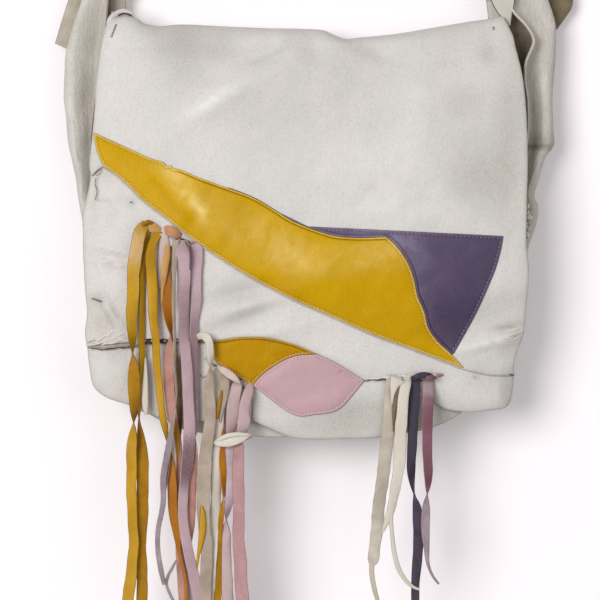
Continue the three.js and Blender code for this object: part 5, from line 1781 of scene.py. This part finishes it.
@dataclass
class Body:
    """The bag's shell behind the flap: front and back panels, base and side gussets."""

    form: FlapForm
    leather: float = 1.6
    back_face: float = 12.0
    inset: float = 1.1
    stitch_in: tuple[float, float] = (0.982, 0.99)
    tongue: float = 7.0
    rows: int = 132
    columns: int = 40
    outline_knots: Knots = (
        (165, -34), (165, -180), (164, -236), (158, -270), (143, -296), (124, -315), (100, -326.6), (60, -332),
        (0, -333.4), (-46, -333), (-96, -328), (-124, -316), (-143, -296), (-158, -270), (-164, -236), (-165, -180),
        (-165, -34),
    )
    seams: ClassVar[dict[Side, Knots]] = {
        Side.LEFT: ((-268, 162), (-180, 162.6), (-100, 163), (-40, 162.5), (0, 161.5), (20, 160.5), (62, 158.6)),
        Side.RIGHT: ((-268, 162), (-190, 163), (-150, 168), (-120, 174), (-87, 178.9), (-60, 178.6), (-49, 177),
            (-40, 176.9), (-32, 177.8), (-22, 182), (-15, 184.6), (-10, 183.7), (-2, 179), (4.5, 173), (10, 168),
            (22, 162), (62, 158.6)),
    }
    outers: ClassVar[dict[Side, Knots]] = {
        Side.LEFT: ((-268, 165), (-220, 170), (-180, 177), (-151.6, 181.8), (-125.6, 186), (-93, 191.9),
            (-56.4, 195.3), (-37.7, 195.3), (-19.8, 193.4), (-3.9, 189.9), (9.5, 185.4), (20, 181.8), (40, 177),
            (62, 176)),
        Side.RIGHT: ((-268, 166), (-220, 172), (-179.3, 181.1), (-164.6, 186), (-147.5, 188.2), (-140.2, 185.4),
            (-113.4, 192.5), (-106, 195.4), (-100.3, 200.4), (-96.3, 201.6), (-86, 200.6), (-55, 200.2), (-40.9, 201),
            (-25, 203.1), (-12.5, 203.4), (0.5, 203), (12, 199.8), (20, 197), (40, 187), (62, 179)),
    }
    sections: ClassVar[dict[Side, Knots]] = {
        Side.LEFT: ((0.86, 0.72, 0.74), (0.64, 0.8, 0.66), (0.42, 0.87, 0.48), (0.22, 0.93, 0.42), (0.08, 0.97, 0.64)),
        Side.RIGHT: ((0.88, 0.7, 0.66), (0.7, 0.78, 0.7), (0.5, 0.85, 0.58), (0.28, 0.92, 0.46), (0.1, 0.97, 0.66)),
    }

    def place_front(self, points: Array, lift: Array | float) -> Array:
        """Puts flat points on the front panel."""
        x, z = points.T
        return np.stack([x, self.form.front_face(x, z) - lift - 0.5 * ripple(x, z, 50, 21), z], axis=1)

    def place_back(self, points: Array, lift: Array | float) -> Array:
        """Puts flat points on the back panel.

        Args:
            points: Places across and down.
            lift: How far each stands behind the panel's inner face.

        Returns:
            The places in space.
        """
        x, z = points.T
        across = np.maximum(0, 1 - (x / self.form.half_body) ** 2)
        middle = across * np.sin(math.pi * np.clip(-z / self.form.body_height, 0, 1))
        swell = 1.6 * middle + 0.5 * ripple(x, z, 60, 31) * ease(-z, 24, 60)
        return np.stack([x, self.back_face + lift + swell, z], axis=1)

    def build(self) -> None:
        """Makes the panels, the base and the side gussets in turn."""
        edge = curve(self.outline_knots, 3)
        front, back = Skin(), Skin()
        cut = Cut(outline(self.outline_knots, [(-165, -34), (165, -34)], step=3), (), 5.0, (1.2, 3.0))
        cut.sheet(front, self.place_front, 0.0, self.leather, None, self.shade_under_flap)
        for part in (edge[:70], edge[-70:]):
            Needle().sew(front, self.place_front(part * self.stitch_in, 1.7), FRONT, 3, 5)
        self.keep(front, "front_panel", (0.330, 0.300), cut.area())
        top = self.form.fold_foot - 0.3
        rim = outline([(165, top), *self.outline_knots[1:-1], (-165, top)], [(-165, top), (165, top)], step=3)
        cut = Cut(rim, (), 5.0, (1.2, 3.0))
        cut.sheet(back, self.place_back, 0.0, self.leather, None, None, True)
        Needle().sew(back, self.place_back(edge * self.stitch_in, 1.7), -FRONT, 3, 6)
        self.keep(back, "back_panel", (0.330, 0.314), cut.area())
        self.base()
        self.gusset(Side.LEFT)
        self.gusset(Side.RIGHT)

    def shade_under_flap(self, points: Array, _: Array) -> Array:
        """Finds where the front panel is painted darker as shade under the flap, most where its lower right corner
        shows below the flap.

        Args:
            points: Flat places.
            _: Their distance to the edge, which makes no difference here.

        Returns:
            The painted shade at each.
        """
        x, down = points[:, 0], -points[:, 1]
        corner = (0.34 + 0.3 * ease(x, 102, 118)) * ease(down, 286, 310) * ease(x, 56, 96)
        return corner + 0.16 * ease(down, 318, 326) * (1 - ease(x, -24, -6))

    def keep(self, skin: Skin, node: str, flat: tuple[float, float], area: float) -> None:
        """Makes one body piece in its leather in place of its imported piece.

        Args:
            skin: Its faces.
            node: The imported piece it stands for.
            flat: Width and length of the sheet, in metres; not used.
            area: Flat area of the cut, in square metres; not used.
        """
        leather = CREAM if node == "front_panel" else CREAM_BODY
        piece = skin.make(f"{node}_leather", (leather, SHADE_SUEDE, CREAM_EDGE_AND_SHADE, CREAM_THREAD))
        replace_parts(piece, node)

    def base(self) -> None:
        """Makes the gusset that runs round the lower corners, sagging between its seams."""
        line = curve(self.outline_knots, 3.0)
        line = line[line[:, 1] < -262]
        inward = unit(np.array([0.0, -200.0]) - line) * [1, 0.8]
        run = line + 2.6 * inward
        share = np.linspace(0, 1, 15)
        grid = np.empty((len(run), len(share), 3))
        front = self.form.front_face(run[:, 0], run[:, 1]) + self.inset
        rear = np.full(len(run), self.back_face - self.inset)
        for j, s in enumerate(share):
            middle = math.sin(math.pi * s)
            sag = 3.0 * middle + 0.5 * ripple(run[:, 0], run[:, 1] * 0 + 40 * s, 28, 41) * middle
            grid[:, j, 0] = run[:, 0] + inward[:, 0] * (1.5 - sag * 0.6)
            grid[:, j, 1] = front + s * (rear - front)
            grid[:, j, 2] = run[:, 1] + inward[:, 1] * (1.5 - sag * 0.6)
        skin = Skin()
        shell(skin, grid, self.leather)
        long = np.linalg.norm(np.diff(run, axis=0), axis=1).sum() * MM
        wide = (rear - front) * MM
        self.keep(skin, "base_gusset", (float(wide.max()), float(long)), float(wide.mean() * long))

    def gusset(self, side: Side) -> None:
        """Makes a side gusset: a loose roll of leather with long folds, running up as a tongue.

        Args:
            side: Which side of the bag.
        """
        seam, outer = curve(self.seams[side], 1.5), curve(self.outers[side], 1.5)
        heights = np.linspace(-267.5, 61.5, self.rows)
        sx = np.interp(heights, seam[:, 0], seam[:, 1])
        ox = np.interp(heights, outer[:, 0], outer[:, 1])
        settle = ease(heights, -51, 0)
        flat = self.form.front_face(np.full(self.rows, 162.6), heights) + self.inset
        front = flat * (1 - settle) - self.tongue * settle
        rear = (self.back_face - self.inset) * (1 - settle) + self.tongue * settle
        fold = ease(heights, -210, -120) * (1 - ease(heights, 10, 50))
        rows, widths = [], []
        for i, z in enumerate(heights):
            span = ox[i] - sx[i]
            deep = rear[i] - front[i]
            knots = [
                (158.6 if z > 0 else 162.0, rear[i]),
                (sx[i] + 0.62 * span, rear[i] - 0.06 * deep),
                (ox[i] - 0.4, rear[i] - 0.32 * deep),
                (ox[i] - 0.5, rear[i] - 0.52 * deep),
            ]
            for share, plain, folded in self.sections[side]:
                knots.append((sx[i] + share * span, rear[i] - (plain + fold[i] * (folded - plain)) * deep))
            knots.append((sx[i], front[i]))
            line = curve(knots, 1.2)
            along = np.concatenate([[0], np.cumsum(np.linalg.norm(np.diff(line, axis=0), axis=1))])
            widths.append(float(along[-1]) * MM)
            at = np.linspace(0, along[-1], self.columns)
            x, y = (np.interp(at, along, line[:, k]) for k in range(2))
            rows.append(np.stack([x, y, np.full(self.columns, z)], axis=1))
        grid = np.array(rows)
        wave = ripple(grid[:, :, 1] * 3, grid[:, :, 2], 34, 51 + side.value) * 0.5
        grid[:, 1:-1, 0] += (wave * fold[:, None])[:, 1:-1]
        column = np.arange(float(self.columns))
        # Painted shade in the gusset's deep fold, and along and above the right gusset's notch.
        gusset_fold_shade = np.exp(-(((column[None] - 32) / 5.0) ** 2)) * fold[:, None]
        if side is Side.RIGHT:
            shown = ease(column, 14, 22)[None] * ease(column, 39, 37)[None]
            notch = np.exp(-(((heights + 100.4) / 2.4) ** 2))[:, None] * shown
            grid[:, :, 1] += 3.2 * notch
            gusset_fold_shade = gusset_fold_shade + 1.6 * notch + 0.9 * np.exp(-(((heights + 94) / 6) ** 2))[:, None] * shown
        grid[:, :, 0] *= side.value
        skin = Skin()
        if side is Side.LEFT:
            shell(skin, grid[:, ::-1], self.leather, 0.3 * gusset_fold_shade[:, ::-1])
        else:
            shell(skin, grid, self.leather, 0.3 * gusset_fold_shade)
            roll(skin, grid[(heights > -150) & (heights < 14), -1] + np.array([0.6, -1.2, 0.0]), 1.0)
        high = float(heights[-1] - heights[0]) * MM
        self.keep(skin, f"gusset_{side.name.lower()}", (max(widths), high), float(np.mean(widths)) * high)


@dataclass
class Strap:
    """The shoulder strap, turned edge-on at its crown, with two tails at each foot."""

    rise: float = 400.0
    width: float = 38.0
    thick: float = 2.4
    foot: float = 26.0
    spread: float = 332.0
    crown_flat: float = 34.0
    crown_bend: float = 46.0
    plane: float = 9.3
    tails: tuple[tuple[Knots, tuple[int, int, int], float], ...] = (
        (((-176, 45, 17), (-182, 26, 18), (-189.6, 4, 17), (-199, -17, 11)), (3, 0, 2), 9.3),
        (((-156, 45, 14), (-153.6, 28, 12), (-153, 12, 12)), (3, 0, 2), 9.6),
        (((157, 45, 22), (159.4, 26, 21), (161.4, 14, 15), (163.6, 5, 7), (165.4, -1.4, 1.6)), (0, 1, 5), -8.0),
        (((178, 45, 16), (196, 34, 20), (207.6, 21, 22), (206.6, 10, 14), (204.4, -2.4, 2)), (4, 0, 2), 12.6),
        (((152, 40, 8), (153.6, 24, 11), (155.4, 12, 12), (155.6, 3, 11)), (0, 1, 2), 10.0),
    )

    def build(self) -> None:
        """Makes the strap and its tails as one piece."""
        skin = Skin()
        crown = self.rise + self.thick / 2
        foot = np.array([self.spread / 2, 0, self.foot])
        corner = np.array([self.crown_flat / 2 + self.crown_bend / 2, 0, crown])
        leg_end = corner + (foot - corner) * self.crown_bend / np.linalg.norm(foot - corner)
        leg = foot + np.linspace(0, 1, 90)[:, None] * (leg_end - foot)
        leg[:, 1] = self.plane * (1 - ease(leg[:, 2], 62, leg_end[2]))
        t = np.linspace(0, 1, 24)[1:, None]
        flat_end = np.array([self.crown_flat / 2, 0, crown])
        bend = (1 - t) ** 2 * leg_end + 2 * t * (1 - t) * corner + t**2 * flat_end
        half = np.vstack([leg, bend])
        path = np.vstack([half, (half * [-1, 1, 1])[::-1]])
        turn = math.pi / 2 * ease((path[:, 2] - self.foot) / (self.rise - self.foot), 0.3, 0.88)
        lean = math.atan2(corner[0] - foot[0], corner[2] - foot[2])
        side = np.sign(path[:, 0])
        across = np.stack(
            [np.cos(lean) * np.cos(turn), -side * np.sin(turn), -side * np.sin(lean) * np.cos(turn)], axis=1
        )
        for i in range(1, len(across)):
            if np.dot(across[i], across[i - 1]) < 0:
                across[i] *= -1
        far = np.cumsum(np.linalg.norm(np.diff(path, axis=0, prepend=path[:1]), axis=1))
        wide = self.width * (1 + 0.012 * ripple(far, far * 0, 60, 61))
        band(skin, path, across, wide, self.thick, 0.0, 9)
        for tail, sides, y in self.tails:
            line = curve([(x, y, z, wide) for x, z, wide in tail], 2.0, 3)
            if y < 0:
                line[:, 1] = y + (self.plane - y) * ease(line[:, 2], 20, 44)
            band(skin, line[:, :3], np.tile([1.0, 0, 0], (len(line), 1)), line[:, 3], self.thick, 0.3, finish=sides)
        finishes = (STRAP_FACE, CREAM_SUEDE, CREAM_EDGE_AND_SHADE, GREY_SUEDE, KHAKI_SUEDE_AND_SHADE, BROWN_SUEDE_AND_SHADOW)
        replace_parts(skin.make("strap_leather_band", finishes), "strap")


@dataclass
class Studio:
    """A pale wall behind the hung bag, a pale floor below, soft light from the left, and the camera."""

    wall: float = 25.0
    floor: float = -560.0
    wide: float = 3000.0
    high: float = 1600.0
    frame_width: float = 480.0
    aim: tuple[float, float] = (-4.4, -224.0)
    lamp_aim: float = -170.0
    away: float = 2400.0
    front: float = 40.0
    sensor: float = 36.0
    light: Colour = (1.0, 0.99, 0.985)

    def paper(self, name: str, colour: Colour, glow: float) -> bpy.types.Material:
        """Makes pale paper, clear from behind and a little brighter to the eye than its light makes it.

        Args:
            name: The material's name.
            colour: Its colour.
            glow: How much brighter it is.

        Returns:
            The material.
        """
        bench = NodeBench(name)
        speck = bench.spread(bench.noise(3.0, 3, 0.5), 0.3, 0.7, 0, 1)
        tone = bench.blend(speck, linear(colour), linear(tuple(c - 2 for c in colour)))
        ray = bench.node("LightPath", {}).outputs
        seen = bench.sum_up("MAXIMUM", ray["Is Camera Ray"], ray["Is Glossy Ray"])
        seen = bench.sum_up("MAXIMUM", seen, ray["Is Transmission Ray"])
        bench.feed(bench.shader, {
            "Base Color": tone, "Roughness": 0.9, "Specular IOR Level": 0.1, "Emission Color": tone,
            "Emission Strength": bench.times(seen, glow),
        })
        behind = bench.node("NewGeometry", {}).outputs["Backfacing"]
        clear = bench.node("BsdfTransparent", {}).outputs[0]
        mix = bench.node("MixShader", {0: behind, 1: bench.shader.outputs[0], 2: clear})
        bench.feed(bench.output, {"Surface": mix.outputs[0]})
        return bench.material

    def plane(self, name: str, corners: Knots, material: bpy.types.Material) -> None:
        """Makes one flat sheet of the backdrop.

        Args:
            name: The sheet's name.
            corners: Its four corners, in mm.
            material: Its paper.
        """
        mesh = bpy.data.meshes.new(name)
        mesh.from_pydata([tuple(c * MM for c in corner) for corner in corners], [], [(0, 1, 2, 3)])
        mesh.materials.append(material)
        sheet = bpy.data.objects.new(name, mesh)
        bpy.context.scene.collection.objects.link(sheet)
        sheet.visible_diffuse = False
        sheet.visible_shadow = False

    def lamp(self, name: str, place: Colour, size: float, watts: float) -> None:
        """Hangs one soft round lamp that faces the bag.

        Args:
            name: The lamp's name.
            place: Where it hangs, in metres.
            size: How wide it is, in metres.
            watts: How strong it is.
        """
        light = bpy.data.lights.new(name, "AREA")
        light.shape = "DISK"
        light.size = size
        light.energy = watts
        light.color = self.light
        lamp = bpy.data.objects.new(name, light)
        lamp.location = place
        aim = Vector((0, 0, (TOP_FOLD + self.lamp_aim) * MM)) - lamp.location
        lamp.rotation_euler = aim.to_track_quat("-Z", "Y").to_euler()
        bpy.context.scene.collection.objects.link(lamp)

    def build(self) -> None:
        """Sets up wall, floor, light and camera."""
        wide, high, low, y = self.wide, self.high, TOP_FOLD + self.floor, self.wall
        paper = self.paper("wall paper", (254, 249, 252), 0.06)
        self.plane("wall", ((-wide, y, low), (wide, y, low), (wide, y, high), (-wide, y, high)), paper)
        self.plane("floor", ((-wide, -wide, low), (wide, -wide, low), (wide, wide, low), (-wide, wide, low)), paper)
        self.lamp("window", (-2.4, -4.3, 0.3), 3.0, 174)
        self.lamp("fill", (1.5, -2.4, -0.3), 2.0, 8)
        world = bpy.data.worlds.new("studio air")
        world.use_nodes = True
        air = world.node_tree.nodes["Background"]
        air.inputs["Color"].default_value = (1.0, 0.99, 0.99, 1)
        air.inputs["Strength"].default_value = 0.42
        bpy.context.scene.world = world
        view = bpy.data.cameras.new("camera")
        view.sensor_width = self.sensor
        view.lens = self.sensor * (self.away - self.front) / self.frame_width
        camera = bpy.data.objects.new("camera", view)
        camera.location = (self.aim[0] * MM, -self.away * MM, (TOP_FOLD + self.aim[1]) * MM)
        camera.rotation_euler = (math.pi / 2, 0, 0)
        bpy.context.scene.collection.objects.link(camera)
        bpy.context.scene.camera = camera
        bpy.context.scene.view_settings.view_transform = "Standard"


def declare(flap: Flap, fringe: Fringe, mends: Mends) -> None:
    """Args:
        flap: The flap with its colour blocks.
        fringe: The strips and laces that hang from it.
        mends: The mends on it.
    """
    pieces = {piece.name.removesuffix("_leather"): piece for piece in flap.pieces}
    bunch = {
        side: [piece for name, piece in fringe.pieces.items() if f"_{side}_" in name]
        for side in ("left", "middle", "right")
    }
    tie = [fringe.pieces["fringe_tie"]]
    blocks = [pieces["patch_leaf"], pieces["patch_petal"]]
    groups = {
        "flap_upper": ((0.354, 0.33), "folded", [pieces["patch_blade"], pieces["patch_sail"], *mends.pieces]),
        "flap_lower": ((0.354, 0.21), "hung", bunch["left"]),
        "flap_centre_lobe": ((0.19, 0.09), "hung", blocks + bunch["right"]),
        "flap_left_lobe": ((0.145, 0.075), "hung", bunch["middle"] + tie),
    }
    for name, (flat, held, going) in groups.items():
        piece = pieces[name]
        del piece["flat_area"]


def main() -> None:
    """Builds the studio and the bag's sub-assemblies in order."""
    Studio().build()
    form = FlapForm()
    flap, mends, fringe = Flap(form), Mends(form), Fringe(form)
    for part in (flap, mends, fringe, Body(form), Strap()):
        part.build()
    declare(flap, fringe, mends)


if __name__ == "__main__":
    main()
